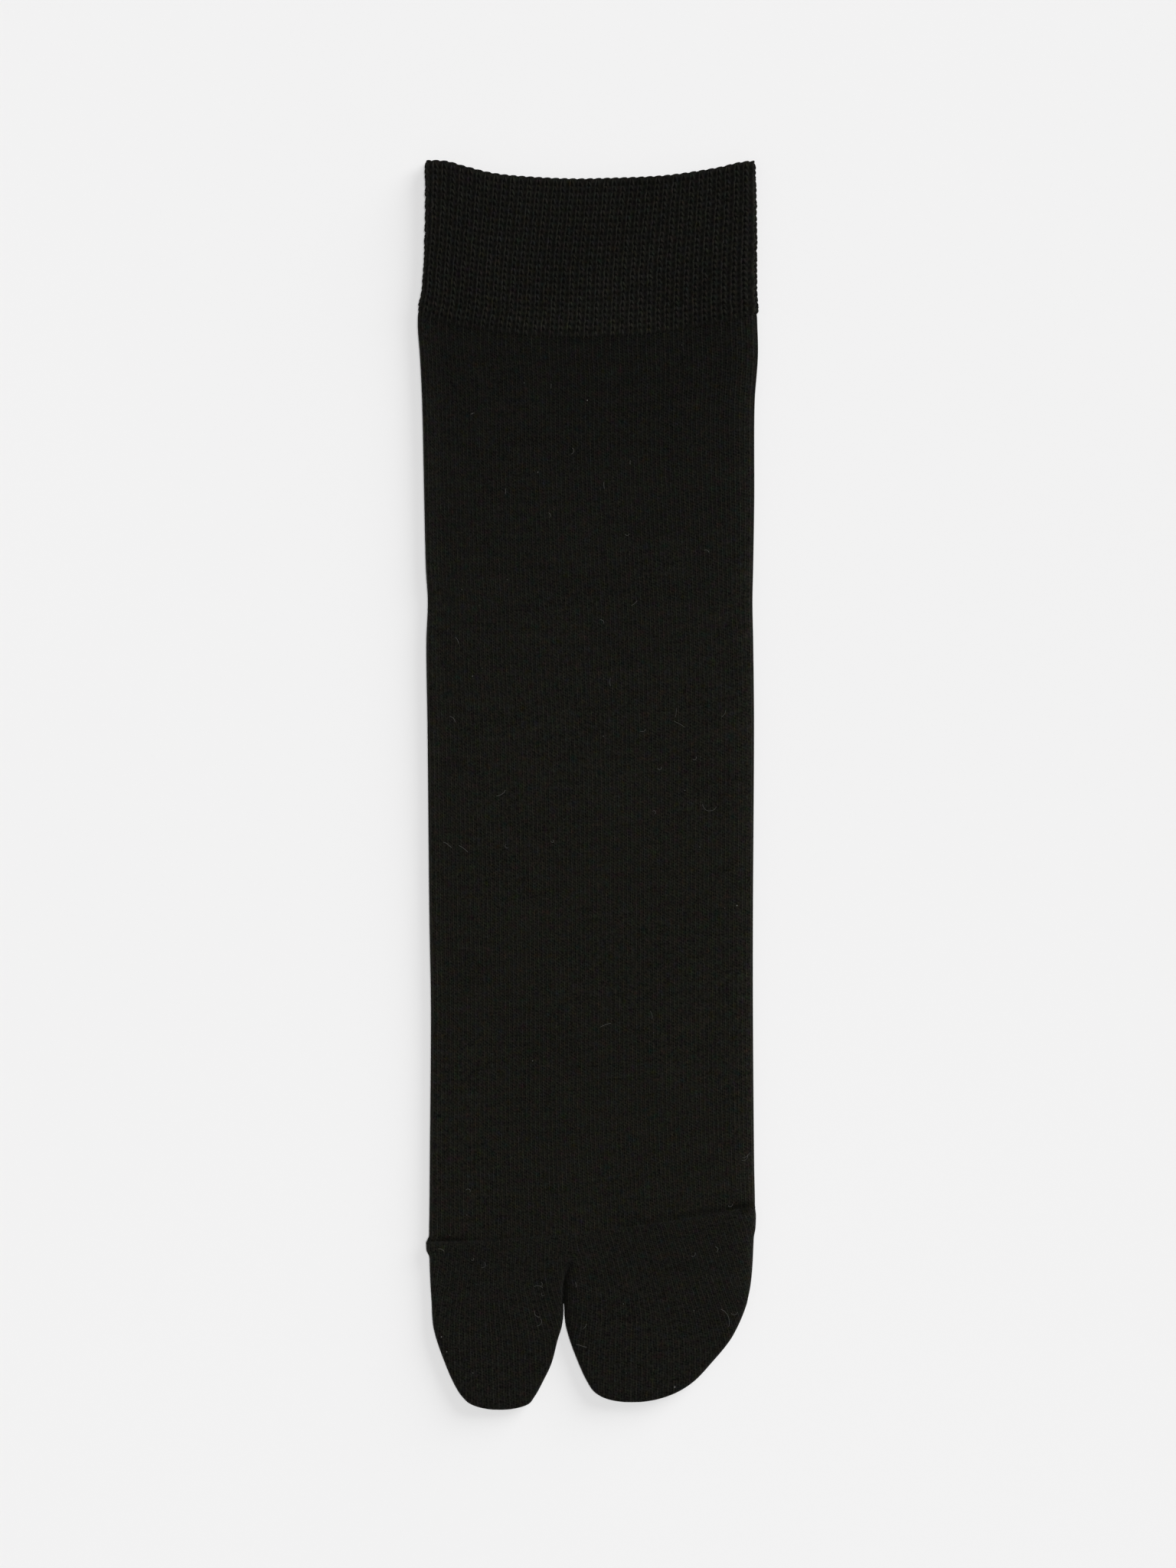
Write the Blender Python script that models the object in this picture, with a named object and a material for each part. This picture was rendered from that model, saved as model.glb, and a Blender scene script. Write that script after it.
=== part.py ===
"""A knitted tabi sock, laid flat with its instep up.

The sock lies on the XY plane, its cuff towards +Y and its toes towards -Y. Its left edge in the plan,
at -X, is the big toe's side. All driving dimensions are millimetres, and the meshes are metres.
A place on the sock is given by "across", its distance to the right of the middle line, and "down", its
distance from the cuff's upper corners towards the toes.
"""

import math
from collections import namedtuple

import bmesh
import bpy

MM = 0.001
SOCK_LENGTH = 330.0
PIECE_GAP = 0.3

# The cloth: each piece is a wall round a flat, empty inside, and its underside rests on the ground.
CUFF_WALL = 1.7
CUFF_THICKNESS = 4.0
LEG_WALL = 1.5
LEG_THICKNESS = 3.4

# The cuff: how far its rim and its lower end hang in the middle, below their ends at the side folds.
RIM_DIP = 5.7
RIM_DIP_POWER = 1.15
CUFF_SIDE_HEIGHT = 40.6
CUFF_MIDDLE_HEIGHT = 47.1
CUFF_END_POWER = 0.8
RIM_ROUNDING = 0.6

# The ribs: raised columns over the upper side, from one side fold to the other.
RIB_COUNT = 39
POINTS_PER_RIB = 6
RIB_RISE = 0.6
RIB_LEAN = 0.06
RIB_SIDE_INSET = 0.2

# The two side folds of the laid sock, from the cuff's corners to the root of the split.
EdgeRow = namedtuple("EdgeRow", "down left right")
SIDE_FOLDS = (
    EdgeRow(0.0, -43.2, 43.8),
    EdgeRow(20.0, -43.1, 44.2),
    EdgeRow(34.0, -44.0, 44.4),
    EdgeRow(43.0, -44.8, 44.6),
    EdgeRow(52.0, -44.4, 44.8),
    EdgeRow(65.0, -43.7, 43.8),
    EdgeRow(90.0, -43.3, 43.7),
    EdgeRow(116.0, -42.3, 43.3),
    EdgeRow(140.0, -42.5, 43.6),
    EdgeRow(200.0, -42.0, 43.5),
    EdgeRow(250.0, -41.7, 43.6),
    EdgeRow(277.0, -42.0, 43.9),
    EdgeRow(285.5, -42.6, 43.5),
    EdgeRow(293.0, -41.8, 42.9),
    EdgeRow(302.0, -41.4, 41.8),
    EdgeRow(306.8, -41.0, 40.0),
)

# The two toe pockets, each from the root of the split to its own tip, where its edges meet.
BIG_TOE = (
    EdgeRow(302.0, -41.4, -6.6),
    EdgeRow(306.8, -41.0, -7.1),
    EdgeRow(311.6, -39.9, -8.3),
    EdgeRow(317.7, -37.6, -9.9),
    EdgeRow(322.6, -35.5, -12.2),
    EdgeRow(326.4, -33.2, -14.3),
    EdgeRow(328.7, -30.4, -16.4),
    EdgeRow(330.0, -23.6, -23.6),
)
FOUR_TOES = (
    EdgeRow(302.0, -6.2, 41.8),
    EdgeRow(306.8, -5.6, 40.0),
    EdgeRow(311.6, -4.6, 37.3),
    EdgeRow(317.7, -2.5, 32.3),
    EdgeRow(322.6, -0.2, 27.5),
    EdgeRow(325.4, 1.8, 22.9),
    EdgeRow(327.2, 5.3, 17.9),
    EdgeRow(328.0, 11.5, 11.5),
)
SPLIT_ACROSS = -6.4
SPLIT_DOWN = 301.6

# The toe seam's course over the instep, from the big toe's side to the little toe's side.
SeamRow = namedtuple("SeamRow", "across down")
TOE_SEAM = (
    SeamRow(-43.0, 285.3),
    SeamRow(-22.0, 284.7),
    SeamRow(-10.0, 284.6),
    SeamRow(0.0, 283.2),
    SeamRow(17.0, 281.4),
    SeamRow(30.0, 279.7),
    SeamRow(43.6, 277.3),
)
SeamCorner = namedtuple("SeamCorner", "along lift")
SEAM_PROFILE = (
    SeamCorner(-0.8, 0.3),
    SeamCorner(-0.7, 0.7),
    SeamCorner(-0.3, 0.9),
    SeamCorner(0.3, 0.9),
    SeamCorner(0.7, 0.7),
    SeamCorner(0.8, 0.3),
)

# Soft hollows and swellings of the upper side, each a round-ended bank.
FoldRow = namedtuple("FoldRow", "across down length width turn rise")
SOFT_FOLDS = (
    FoldRow(2.0, 108.0, 34.0, 10.0, 0.0, 0.35),
    FoldRow(0.0, 118.0, 60.0, 5.0, 2.0, -0.20),
    FoldRow(-26.0, 283.5, 34.0, 4.0, 1.0, -0.35),
    FoldRow(22.0, 279.5, 40.0, 4.0, -6.0, -0.35),
    FoldRow(-5.3, 295.5, 10.0, 3.0, -73.0, -0.55),
    FoldRow(0.5, 296.0, 6.0, 9.0, 0.0, -0.25),
    FoldRow(29.0, 294.0, 20.0, 6.0, -3.0, -0.25),
)

# How finely each ring and each run of rings is divided.
FOLD_STEPS = 6
INSTEP_STEPS_BIG_TOE = 12
INSTEP_STEPS_FOUR_TOES = 16
CUFF_STATIONS = (0.0, 0.10, 0.30, 0.50, 0.70, 0.88, 1.0)
LEG_STATION_COUNT = 30
LEG_LAST_STATIONS = (0.978, 0.988, 0.995, 1.0)
TOE_STATIONS = (0.0, 0.06, 0.2, 0.4, 0.6, 0.8, 1.0)
TIP_STEPS = 14
TIP_LAST_STEP = 0.35


def smooth_value(rows, key, column, place):
    """Read a column at a place between the rows of a table, along a smooth curve through them."""
    places = [key(row) for row in rows]
    values = [getattr(row, column) for row in rows]
    if places[0] > places[-1]:
        places.reverse()
        values.reverse()
    place = min(max(place, places[0]), places[-1])
    index = 0
    while index < len(places) - 2 and place > places[index + 1]:
        index += 1

    def slope(at):
        before = max(at - 1, 0)
        after = min(at + 1, len(places) - 1)
        return (values[after] - values[before]) / (places[after] - places[before])

    span = places[index + 1] - places[index]
    t = (place - places[index]) / span
    start_value = values[index]
    end_value = values[index + 1]
    return (
        start_value * (2 * t**3 - 3 * t**2 + 1)
        + slope(index) * span * (t**3 - 2 * t**2 + t)
        + end_value * (3 * t**2 - 2 * t**3)
        + slope(index + 1) * span * (t**3 - t**2)
    )


def row_down(row):
    return row.down


def row_across(row):
    return row.across


def side_fold(column, down):
    """Where the left or right side fold lies at a distance down the sock."""
    return smooth_value(SIDE_FOLDS, row_down, column, down)


def hang(side, power):
    """A share from 0 at the side folds, where side is -1 or 1, to 1 in the middle."""
    return max(1.0 - side * side, 0.0) ** power


def rim_down(side):
    return RIM_DIP * hang(side, RIM_DIP_POWER)


def cuff_end_down(side):
    return CUFF_SIDE_HEIGHT + (CUFF_MIDDLE_HEIGHT - CUFF_SIDE_HEIGHT) * hang(side, CUFF_END_POWER)


def leg_start_down(side):
    return cuff_end_down(side) + PIECE_GAP


def seam_down(side):
    across = side * TOE_SEAM[-1].across
    return smooth_value(TOE_SEAM, row_across, "down", across)


def leg_end_down(side):
    return seam_down(side) - PIECE_GAP / 2


def toe_start_down(side):
    return seam_down(side) + PIECE_GAP / 2


def fold_rise(across, down):
    """How far the soft folds lift or lower the upper side at a place."""
    total = 0.0
    for fold in SOFT_FOLDS:
        turn = math.radians(fold.turn)
        right = across - fold.across
        below = down - fold.down
        along = right * math.cos(turn) + below * math.sin(turn)
        beside = below * math.cos(turn) - right * math.sin(turn)
        beyond = max(abs(along) - fold.length / 2, 0.0)
        total += fold.rise * math.exp(-(beyond**2 + beside**2) / (fold.width / 2) ** 2)
    return total


RingPoint = namedtuple("RingPoint", "across height upper")


def arc(centre_across, centre_height, radius, start_angle, end_angle, steps):
    """Points on a side fold, from one angle to the other."""
    points = []
    for step in range(steps + 1):
        angle = math.radians(start_angle + (end_angle - start_angle) * step / steps)
        across = centre_across + radius * math.cos(angle)
        height = centre_height + radius * math.sin(angle)
        points.append(RingPoint(across, height, max(math.sin(angle), 0.0)))
    return points


def level(start_across, end_across, height, steps, upper):
    """Points on the flat upper or under side, between two side folds and without their ends."""
    points = []
    for step in range(1, steps):
        across = start_across + (end_across - start_across) * step / steps
        points.append(RingPoint(across, height, upper))
    return points


def flat_ring(left, right, thickness, lift, middle_steps):
    """One flattened ring: left fold, upper side, right fold, underside.

    The ring is moved out of the cloth by lift, or into it where lift is negative. middle_steps is how
    many steps the upper side takes, as one run or as two that meet where the toe splits.
    """
    radius = thickness / 2 + lift
    middle = thickness / 2
    left_centre = left + middle
    right_centre = right - middle
    stops = [left_centre, right_centre]
    if len(middle_steps) == 2:
        stops.insert(1, SPLIT_ACROSS)
    ring = arc(left_centre, middle, radius, 270.0, 90.0, FOLD_STEPS)
    for start, end, steps in zip(stops, stops[1:], middle_steps):
        ring += level(start, end, middle + radius, steps, 1.0)
        if end != stops[-1]:
            ring.append(RingPoint(end, middle + radius, 1.0))
    ring += arc(right_centre, middle, radius, 90.0, -90.0, FOLD_STEPS)
    stops.reverse()
    for start, end, steps in zip(stops, stops[1:], reversed(middle_steps)):
        ring += level(start, end, middle - radius, steps, 0.0)
        if end != stops[-1]:
            ring.append(RingPoint(end, middle - radius, 0.0))
    return ring


def sock_point(across, down, height):
    """A place on the sock as a point in metres, with the sock's middle at the origin."""
    return (across * MM, (SOCK_LENGTH / 2 - down) * MM, height * MM)


def tube_ring(station, start_down, end_down, thickness, lift, middle_steps):
    """One ring of a tube, at a share of the way from its start line to its end line."""

    def down_at(side):
        return start_down(side) + (end_down(side) - start_down(side)) * station

    left = side_fold("left", down_at(-1.0))
    right = side_fold("right", down_at(1.0))
    ring = flat_ring(left, right, thickness, lift, middle_steps)
    points = []
    for point in ring:
        side = (2 * point.across - left - right) / (right - left)
        side = min(max(side, -1.0), 1.0)
        down = down_at(side)
        height = point.height
        if lift >= 0:
            height += point.upper * fold_rise(point.across, down)
        points.append(sock_point(point.across, down, height))
    return points


def add_ring(mesh, points):
    return [mesh.verts.new(point) for point in points]


def skin(mesh, first, second):
    """Faces between two rings with the same number of points."""
    count = len(first)
    for index in range(count):
        following = (index + 1) % count
        mesh.faces.new((first[index], first[following], second[following], second[index]))


def skin_all(mesh, rings):
    for first, second in zip(rings, rings[1:]):
        skin(mesh, first, second)


def cap(mesh, ring, tip):
    """Close a ring over one point."""
    count = len(ring)
    for index in range(count):
        mesh.faces.new((ring[index], ring[(index + 1) % count], tip))


def knit_material(name, colour, roughness):
    material = bpy.data.materials.new(name)
    material.use_nodes = True
    shader = material.node_tree.nodes["Principled BSDF"]
    shader.inputs["Base Color"].default_value = (*colour, 1.0)
    shader.inputs["Roughness"].default_value = roughness
    shader.inputs["Metallic"].default_value = 0.0
    return material


def finish_piece(mesh, name, material):
    """Make a bmesh one named object with its faces outwards and its round parts shaded smooth."""
    bmesh.ops.recalc_face_normals(mesh, faces=mesh.faces)
    data = bpy.data.meshes.new(name)
    mesh.to_mesh(data)
    mesh.free()
    data.materials.append(material)
    data.shade_smooth()
    data.set_sharp_from_angle(angle=math.radians(50))
    piece = bpy.data.objects.new(name, data)
    bpy.context.scene.collection.objects.link(piece)
    return piece


def rib_height(path_share):
    """The ribs' rise at a share of the way from one side fold over the upper side to the other."""
    return RIB_RISE * (0.5 - 0.5 * math.cos(2 * math.pi * RIB_COUNT * path_share))


def ribbed_ring(station, inset_down):
    """The cuff's outer ring, with each rib raised over the upper side and over both side folds."""

    def down_at(side):
        return rim_down(side) + (cuff_end_down(side) - rim_down(side)) * station + inset_down

    left = side_fold("left", down_at(-1.0)) + RIB_SIDE_INSET
    right = side_fold("right", down_at(1.0)) - RIB_SIDE_INSET
    radius = CUFF_THICKNESS / 2
    quarter = math.pi * radius / 2
    level_length = right - left - 2 * radius
    path_length = level_length + 2 * quarter
    steps = RIB_COUNT * POINTS_PER_RIB
    outline = []
    for step in range(steps + 1):
        path = path_length * step / steps
        rise = rib_height(step / steps)
        if path < quarter:
            angle = math.pi - path / radius
            centre = left + radius
        elif path > path_length - quarter:
            angle = (path_length - path) / radius
            centre = right - radius
        else:
            angle = math.pi / 2
            centre = left + radius + path - quarter
        across = centre + (radius + rise) * math.cos(angle)
        height = radius + (radius + rise) * math.sin(angle)
        outline.append((across, height))
    half_fold = FOLD_STEPS // 2
    under_right = arc(right - radius, radius, radius, 0.0, -90.0, half_fold)[1:]
    under = level(right - radius, left + radius, 0.0, INSTEP_STEPS_FOUR_TOES, 0.0)
    under_left = arc(left + radius, radius, radius, 270.0, 180.0, half_fold)[:-1]
    outline += [(point.across, point.height) for point in under_right + under + under_left]

    points = []
    for across, height in outline:
        side = (2 * across - left - right) / (right - left)
        side = min(max(side, -1.0), 1.0)
        down = down_at(side)
        lean = RIB_LEAN * (CUFF_SIDE_HEIGHT / 2 - down) * hang(side, 1.0)
        points.append(sock_point(across + lean, down, height))
    return points


def lining_ring(outer, depth, wall, along):
    """The ring that lies a wall's depth inside an outer ring, moved along the sock."""
    highest = CUFF_THICKNESS * MM
    middle = highest / 2
    left = min(point[0] for point in outer)
    right = max(point[0] for point in outer)
    inside = wall * depth * MM
    radius = middle - inside
    points = []
    for across, length_place, height in outer:
        clear = min(max(across, left + middle), right - middle)
        off = (across - clear, height - middle)
        reach = math.hypot(*off)
        if abs(off[0]) < 1e-9:
            points.append((across, length_place + along * MM, middle + math.copysign(radius, off[1])))
            continue
        share = radius / reach
        points.append((clear + off[0] * share, length_place + along * MM, middle + off[1] * share))
    return points


def make_cuff():
    mesh = bmesh.new()
    outer_points = [ribbed_ring(station, 0.0) for station in CUFF_STATIONS]
    outer_points[0] = ribbed_ring(CUFF_STATIONS[0], RIM_ROUNDING)
    outer_points[-1] = ribbed_ring(CUFF_STATIONS[-1], -RIM_ROUNDING)
    rings = [add_ring(mesh, points) for points in outer_points]
    rings.append(add_ring(mesh, lining_ring(outer_points[-1], 0.5, CUFF_WALL, -RIM_ROUNDING)))
    for points in (outer_points[-1], outer_points[3], outer_points[0]):
        rings.append(add_ring(mesh, lining_ring(points, 1.0, CUFF_WALL, 0.0)))
    rings.append(add_ring(mesh, lining_ring(outer_points[0], 0.5, CUFF_WALL, RIM_ROUNDING)))
    skin_all(mesh, rings + rings[:1])
    return finish_piece(mesh, "cuff", knit_material("cuff_rib_knit", (0.0075, 0.0073, 0.0062), 0.95))


def make_leg_and_foot():
    mesh = bmesh.new()
    middle_steps = (INSTEP_STEPS_BIG_TOE, INSTEP_STEPS_FOUR_TOES)
    last_even = LEG_LAST_STATIONS[0]
    stations = [last_even * step / LEG_STATION_COUNT for step in range(LEG_STATION_COUNT)]
    stations += LEG_LAST_STATIONS
    rings = []
    for station in stations:
        points = tube_ring(station, leg_start_down, leg_end_down, LEG_THICKNESS, 0.0, middle_steps)
        rings.append(add_ring(mesh, points))
    for station in reversed(stations[::3] + [1.0]):
        points = tube_ring(station, leg_start_down, leg_end_down, LEG_THICKNESS, -LEG_WALL, middle_steps)
        rings.append(add_ring(mesh, points))
    skin_all(mesh, rings + rings[:1])
    return finish_piece(mesh, "leg_and_foot", knit_material("plain_knit", (0.0086, 0.0085, 0.0070), 0.95))


def pocket_edge(rows, column, reach, inset):
    """A point (across, down) on a toe pocket's outline, moved into the cloth by inset.

    reach is the square root of the distance from the tip. An outline that is round at its tip is a
    smooth curve of it.
    """
    tip = rows[-1]

    def row_reach(row):
        return math.sqrt(tip.down - row.down)

    def outline(at):
        return smooth_value(rows, row_reach, column, at), tip.down - at * at

    step = 0.02
    before = outline(max(reach - step, 0.0))
    after = outline(reach + step)
    run = (after[0] - before[0], after[1] - before[1])
    length = math.hypot(*run)
    inward = 1.0 if column == "left" else -1.0
    normal = (-run[1] / length * inward, run[0] / length * inward)
    here = outline(reach)
    return here[0] + normal[0] * inset, here[1] + normal[1] * inset


def pocket_ring(rows, reach, lift, steps):
    """One ring of a toe pocket. Towards the tip it gets thinner, so that the tip is round."""
    left_across, left_down = pocket_edge(rows, "left", reach, -lift)
    right_across, right_down = pocket_edge(rows, "right", reach, -lift)
    full_radius = LEG_THICKNESS / 2 + lift
    from_tip = min(reach * reach / full_radius, 1.0)
    radius = full_radius * math.sqrt(1.0 - (1.0 - from_tip) ** 2)
    ring = flat_ring(left_across, right_across, 2 * radius, 0.0, (steps,))
    points = []
    for point in ring:
        share = (point.across - left_across) / (right_across - left_across)
        down = left_down + (right_down - left_down) * share
        height = LEG_THICKNESS / 2 - radius + point.height
        if lift >= 0:
            height += point.upper * fold_rise(point.across, down)
        points.append(sock_point(point.across, down, height))
    return points


def split_arc(lift):
    """The points of the web between the toes, from the upper side round to the underside."""
    radius = LEG_THICKNESS / 2 + lift
    points = []
    for step in range(1, FOLD_STEPS):
        angle = math.pi * step / FOLD_STEPS
        down = SPLIT_DOWN + lift + radius * (1.0 - math.sin(angle))
        points.append(sock_point(SPLIT_ACROSS, down, LEG_THICKNESS / 2 + radius * math.cos(angle)))
    return points


def toe_shell(mesh, lift):
    """One skin of the toe, the outer where lift is 0. Returns its ring at the seam."""
    middle_steps = (INSTEP_STEPS_BIG_TOE, INSTEP_STEPS_FOUR_TOES)
    split_down = SPLIT_DOWN + lift + LEG_THICKNESS / 2 + lift

    def split_line(side):
        return split_down

    rings = []
    for station in TOE_STATIONS:
        points = tube_ring(station, toe_start_down, split_line, LEG_THICKNESS, lift, middle_steps)
        rings.append(add_ring(mesh, points))
    skin_all(mesh, rings)

    # The last whole ring is shared out between the pockets, and the web's points join both halves.
    root = rings[-1]
    web = add_ring(mesh, split_arc(lift))
    upper_split = FOLD_STEPS + INSTEP_STEPS_BIG_TOE
    under_split = len(root) - INSTEP_STEPS_BIG_TOE
    big_toe_root = root[: upper_split + 1] + web + root[under_split:]
    four_toes_root = root[upper_split : under_split + 1] + web[::-1]
    for rows, first, steps in (
        (BIG_TOE, big_toe_root, INSTEP_STEPS_BIG_TOE),
        (FOUR_TOES, four_toes_root, INSTEP_STEPS_FOUR_TOES),
    ):
        longest_reach = math.sqrt(rows[-1].down - split_down - 1.2)
        previous = first
        for step in range(TIP_STEPS + 1):
            reach = longest_reach + (TIP_LAST_STEP - longest_reach) * step / TIP_STEPS
            ring = add_ring(mesh, pocket_ring(rows, reach, lift, steps))
            if rows is FOUR_TOES:
                ring = ring[FOLD_STEPS:] + ring[:FOLD_STEPS]
            skin(mesh, previous, ring)
            previous = ring
        tip = rows[-1]
        cap(mesh, previous, mesh.verts.new(sock_point(tip.left, tip.down + lift, LEG_THICKNESS / 2)))
    return rings[0]


def make_toe():
    mesh = bmesh.new()
    outer = toe_shell(mesh, 0.0)
    inner = toe_shell(mesh, -LEG_WALL)
    skin(mesh, outer, inner)
    return finish_piece(mesh, "toe", knit_material("toe_knit", (0.0086, 0.0085, 0.0070), 0.95))


def make_toe_seam():
    """The linked seam, a narrow bar that follows the join over the instep and into both side folds."""
    mesh = bmesh.new()
    middle_steps = (INSTEP_STEPS_BIG_TOE, INSTEP_STEPS_FOUR_TOES)
    lines = []
    for corner in SEAM_PROFILE:

        def line_down(side):
            return seam_down(side) + corner.along

        points = tube_ring(0.0, line_down, line_down, LEG_THICKNESS, corner.lift, middle_steps)
        first = FOLD_STEPS // 2 + 1
        last = FOLD_STEPS + sum(middle_steps) + FOLD_STEPS // 2
        lines.append(points[first:last])
    sections = [add_ring(mesh, section) for section in zip(*lines)]
    skin_all(mesh, sections)
    mesh.faces.new(sections[0])
    mesh.faces.new(sections[-1])
    return finish_piece(mesh, "toe_seam", knit_material("seam_knit", (0.0080, 0.0078, 0.0066), 0.95))


def main():
    for piece in list(bpy.data.objects):
        bpy.data.objects.remove(piece, do_unlink=True)
    make_cuff()
    make_leg_and_foot()
    make_toe()
    make_toe_seam()


main()
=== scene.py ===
# %% [markdown]
# # A tabi sock, laid flat
# A tabi sock has two pockets at its toes, so that a sandal's thong can pass between them. This one is
# knitted from black cotton and lies on a pale floor with its instep up. The packed solids give its
# form. Every piece below is a finer skin over one of them: the ribbed cuff, the plain leg and foot,
# the split toe and the seam that closes it. Each step says what the piece is on a real sock before it
# is made.

# %% Load the packed sock
import math
from bisect import bisect_right
from collections import namedtuple

import bmesh
import bpy
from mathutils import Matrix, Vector, noise


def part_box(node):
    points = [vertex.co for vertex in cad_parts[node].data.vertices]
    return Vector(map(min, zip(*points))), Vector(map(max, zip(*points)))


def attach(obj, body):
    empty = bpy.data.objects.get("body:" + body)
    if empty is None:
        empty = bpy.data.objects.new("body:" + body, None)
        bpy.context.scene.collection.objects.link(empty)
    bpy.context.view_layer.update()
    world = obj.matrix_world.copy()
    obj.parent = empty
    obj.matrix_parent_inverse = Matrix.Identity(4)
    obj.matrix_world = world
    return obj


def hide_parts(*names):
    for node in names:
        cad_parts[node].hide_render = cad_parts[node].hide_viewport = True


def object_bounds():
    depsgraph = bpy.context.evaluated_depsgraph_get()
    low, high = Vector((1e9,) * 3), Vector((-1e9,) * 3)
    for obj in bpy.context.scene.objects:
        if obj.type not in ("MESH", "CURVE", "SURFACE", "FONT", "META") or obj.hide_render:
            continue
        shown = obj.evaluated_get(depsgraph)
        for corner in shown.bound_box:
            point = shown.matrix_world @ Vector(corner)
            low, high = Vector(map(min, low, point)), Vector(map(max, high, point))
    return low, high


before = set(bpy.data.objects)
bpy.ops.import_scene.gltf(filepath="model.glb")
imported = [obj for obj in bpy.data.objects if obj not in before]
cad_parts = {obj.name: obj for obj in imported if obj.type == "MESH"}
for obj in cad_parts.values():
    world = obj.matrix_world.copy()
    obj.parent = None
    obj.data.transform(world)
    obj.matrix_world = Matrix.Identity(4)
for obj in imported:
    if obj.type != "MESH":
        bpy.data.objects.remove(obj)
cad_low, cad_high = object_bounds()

MM = 0.001
SOCK_LENGTH = (cad_high.y - cad_low.y) / MM
print(f"the sock is {SOCK_LENGTH:.1f} mm long")

# %% [markdown]
# ## Where things lie on a sock
# A knitter thinks in places on the cloth, not in X and Y. So each place is given in millimetres by
# "across", its distance to the right of the middle line, and "down", its distance from the cuff's
# upper corners towards the toes. One function turns such a place and a height into a point in metres.

# %% From a place on the sock to a point
def sock_point(across, down, height):
    """A place on the sock, in millimetres, as a point in metres."""
    return Vector((across * MM, (SOCK_LENGTH / 2 - down) * MM, height * MM))


print("the rim's middle is at", sock_point(0.0, 5.7, 0.0))

# %% [markdown]
# ## Smooth lines through short tables
# The sock's outline is soft, so a few measured rows are enough if a smooth line runs through them.
# Blender's curves could do this, but a function is easier to ask for a value at any place. This one
# is a cubic through the rows, with each slope taken from the neighbours. Two of a table's columns
# make a line.

# %% A smooth line through pairs
def smooth_line(pairs):
    """Return a function that runs smoothly through (place, value) pairs and stays flat beyond them."""
    pairs = sorted(pairs)
    places = [place for place, value in pairs]
    values = [value for place, value in pairs]
    last = len(pairs) - 1
    slopes = []
    for index in range(last + 1):
        before = max(index - 1, 0)
        after = min(index + 1, last)
        slopes.append((values[after] - values[before]) / (places[after] - places[before]))

    def read(place):
        place = min(max(place, places[0]), places[last])
        index = min(bisect_right(places, place) - 1, last - 1)
        span = places[index + 1] - places[index]
        t = (place - places[index]) / span
        return (
            values[index] * (2 * t**3 - 3 * t**2 + 1)
            + slopes[index] * span * (t**3 - 2 * t**2 + t)
            + values[index + 1] * (3 * t**2 - 2 * t**3)
            + slopes[index + 1] * span * (t**3 - t**2)
        )

    return read


def line_through(rows, place, value):
    """A smooth line through a table's rows, from the column of places to the column of values."""
    return smooth_line([(getattr(row, place), getattr(row, value)) for row in rows])


def clamped(value, low=0.0, high=1.0):
    return min(max(value, low), high)


print("half way between 0 and 10 on a rising line:", smooth_line([(0, 0), (1, 10)])(0.5))

# %% [markdown]
# ## The outline of the laid sock
# A sock is a tube, so when it lies flat its outline is its two side folds. They swing out under the
# cuff, where the rib lets go of the cloth, draw in at the ankle, and swell a little at the toe seam's
# ends. The two toe pockets have outlines of their own, and each has both its edges meet at its tip.

# %% The side folds and the toe pockets
EdgeRow = namedtuple("EdgeRow", "down left right")
SIDE_FOLDS = (
    EdgeRow(0.0, -43.2, 44.0),
    EdgeRow(20.0, -43.2, 44.4),
    EdgeRow(34.0, -44.0, 44.4),
    EdgeRow(43.0, -44.8, 44.7),
    EdgeRow(52.0, -44.2, 44.9),
    EdgeRow(65.0, -43.6, 44.0),
    EdgeRow(90.0, -43.1, 43.9),
    EdgeRow(108.0, -42.7, 43.6),
    EdgeRow(117.0, -42.2, 43.4),
    EdgeRow(128.0, -42.6, 43.6),
    EdgeRow(150.0, -42.3, 43.8),
    EdgeRow(200.0, -41.8, 43.5),
    EdgeRow(225.0, -41.4, 43.5),
    EdgeRow(265.0, -41.7, 43.8),
    EdgeRow(277.0, -41.8, 44.0),
    EdgeRow(285.0, -41.9, 43.7),
    EdgeRow(293.0, -41.7, 43.3),
    EdgeRow(297.5, -41.5, 42.8),
    EdgeRow(302.0, -41.2, 41.9),
)
BIG_TOE = (
    EdgeRow(302.0, -41.2, -6.5),
    EdgeRow(304.8, -41.1, -6.5),
    EdgeRow(308.0, -40.8, -6.9),
    EdgeRow(311.6, -39.9, -8.0),
    EdgeRow(317.7, -37.7, -9.6),
    EdgeRow(322.6, -35.6, -11.9),
    EdgeRow(326.4, -33.3, -14.0),
    EdgeRow(328.7, -30.5, -16.1),
    EdgeRow(330.0, -23.4, -23.4),
)
FOUR_TOES = (
    EdgeRow(302.0, -6.3, 41.9),
    EdgeRow(304.8, -6.2, 40.9),
    EdgeRow(308.0, -5.8, 39.5),
    EdgeRow(311.6, -4.8, 37.5),
    EdgeRow(317.7, -2.5, 32.5),
    EdgeRow(322.6, -0.2, 27.8),
    EdgeRow(325.4, 1.8, 23.4),
    EdgeRow(327.2, 5.3, 18.3),
    EdgeRow(328.0, 11.5, 11.5),
)
SPLIT_ACROSS = -6.4
SPLIT_DOWN = 301.6

left_fold = line_through(SIDE_FOLDS, "down", "left")
right_fold = line_through(SIDE_FOLDS, "down", "right")
print(f"at the ankle the sock is {right_fold(120) - left_fold(120):.1f} mm wide")

# %% [markdown]
# ## Lines that cross the sock
# Three lines cross it. The cuff's rim and its lower end both hang in the middle, because rib draws in
# more at the folds. The toe seam runs from the big toe's side to the little toe's side, which is
# shorter, so it slants. Each line is a function of "side", which is -1 at the left fold and 1 at the
# right one.

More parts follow.
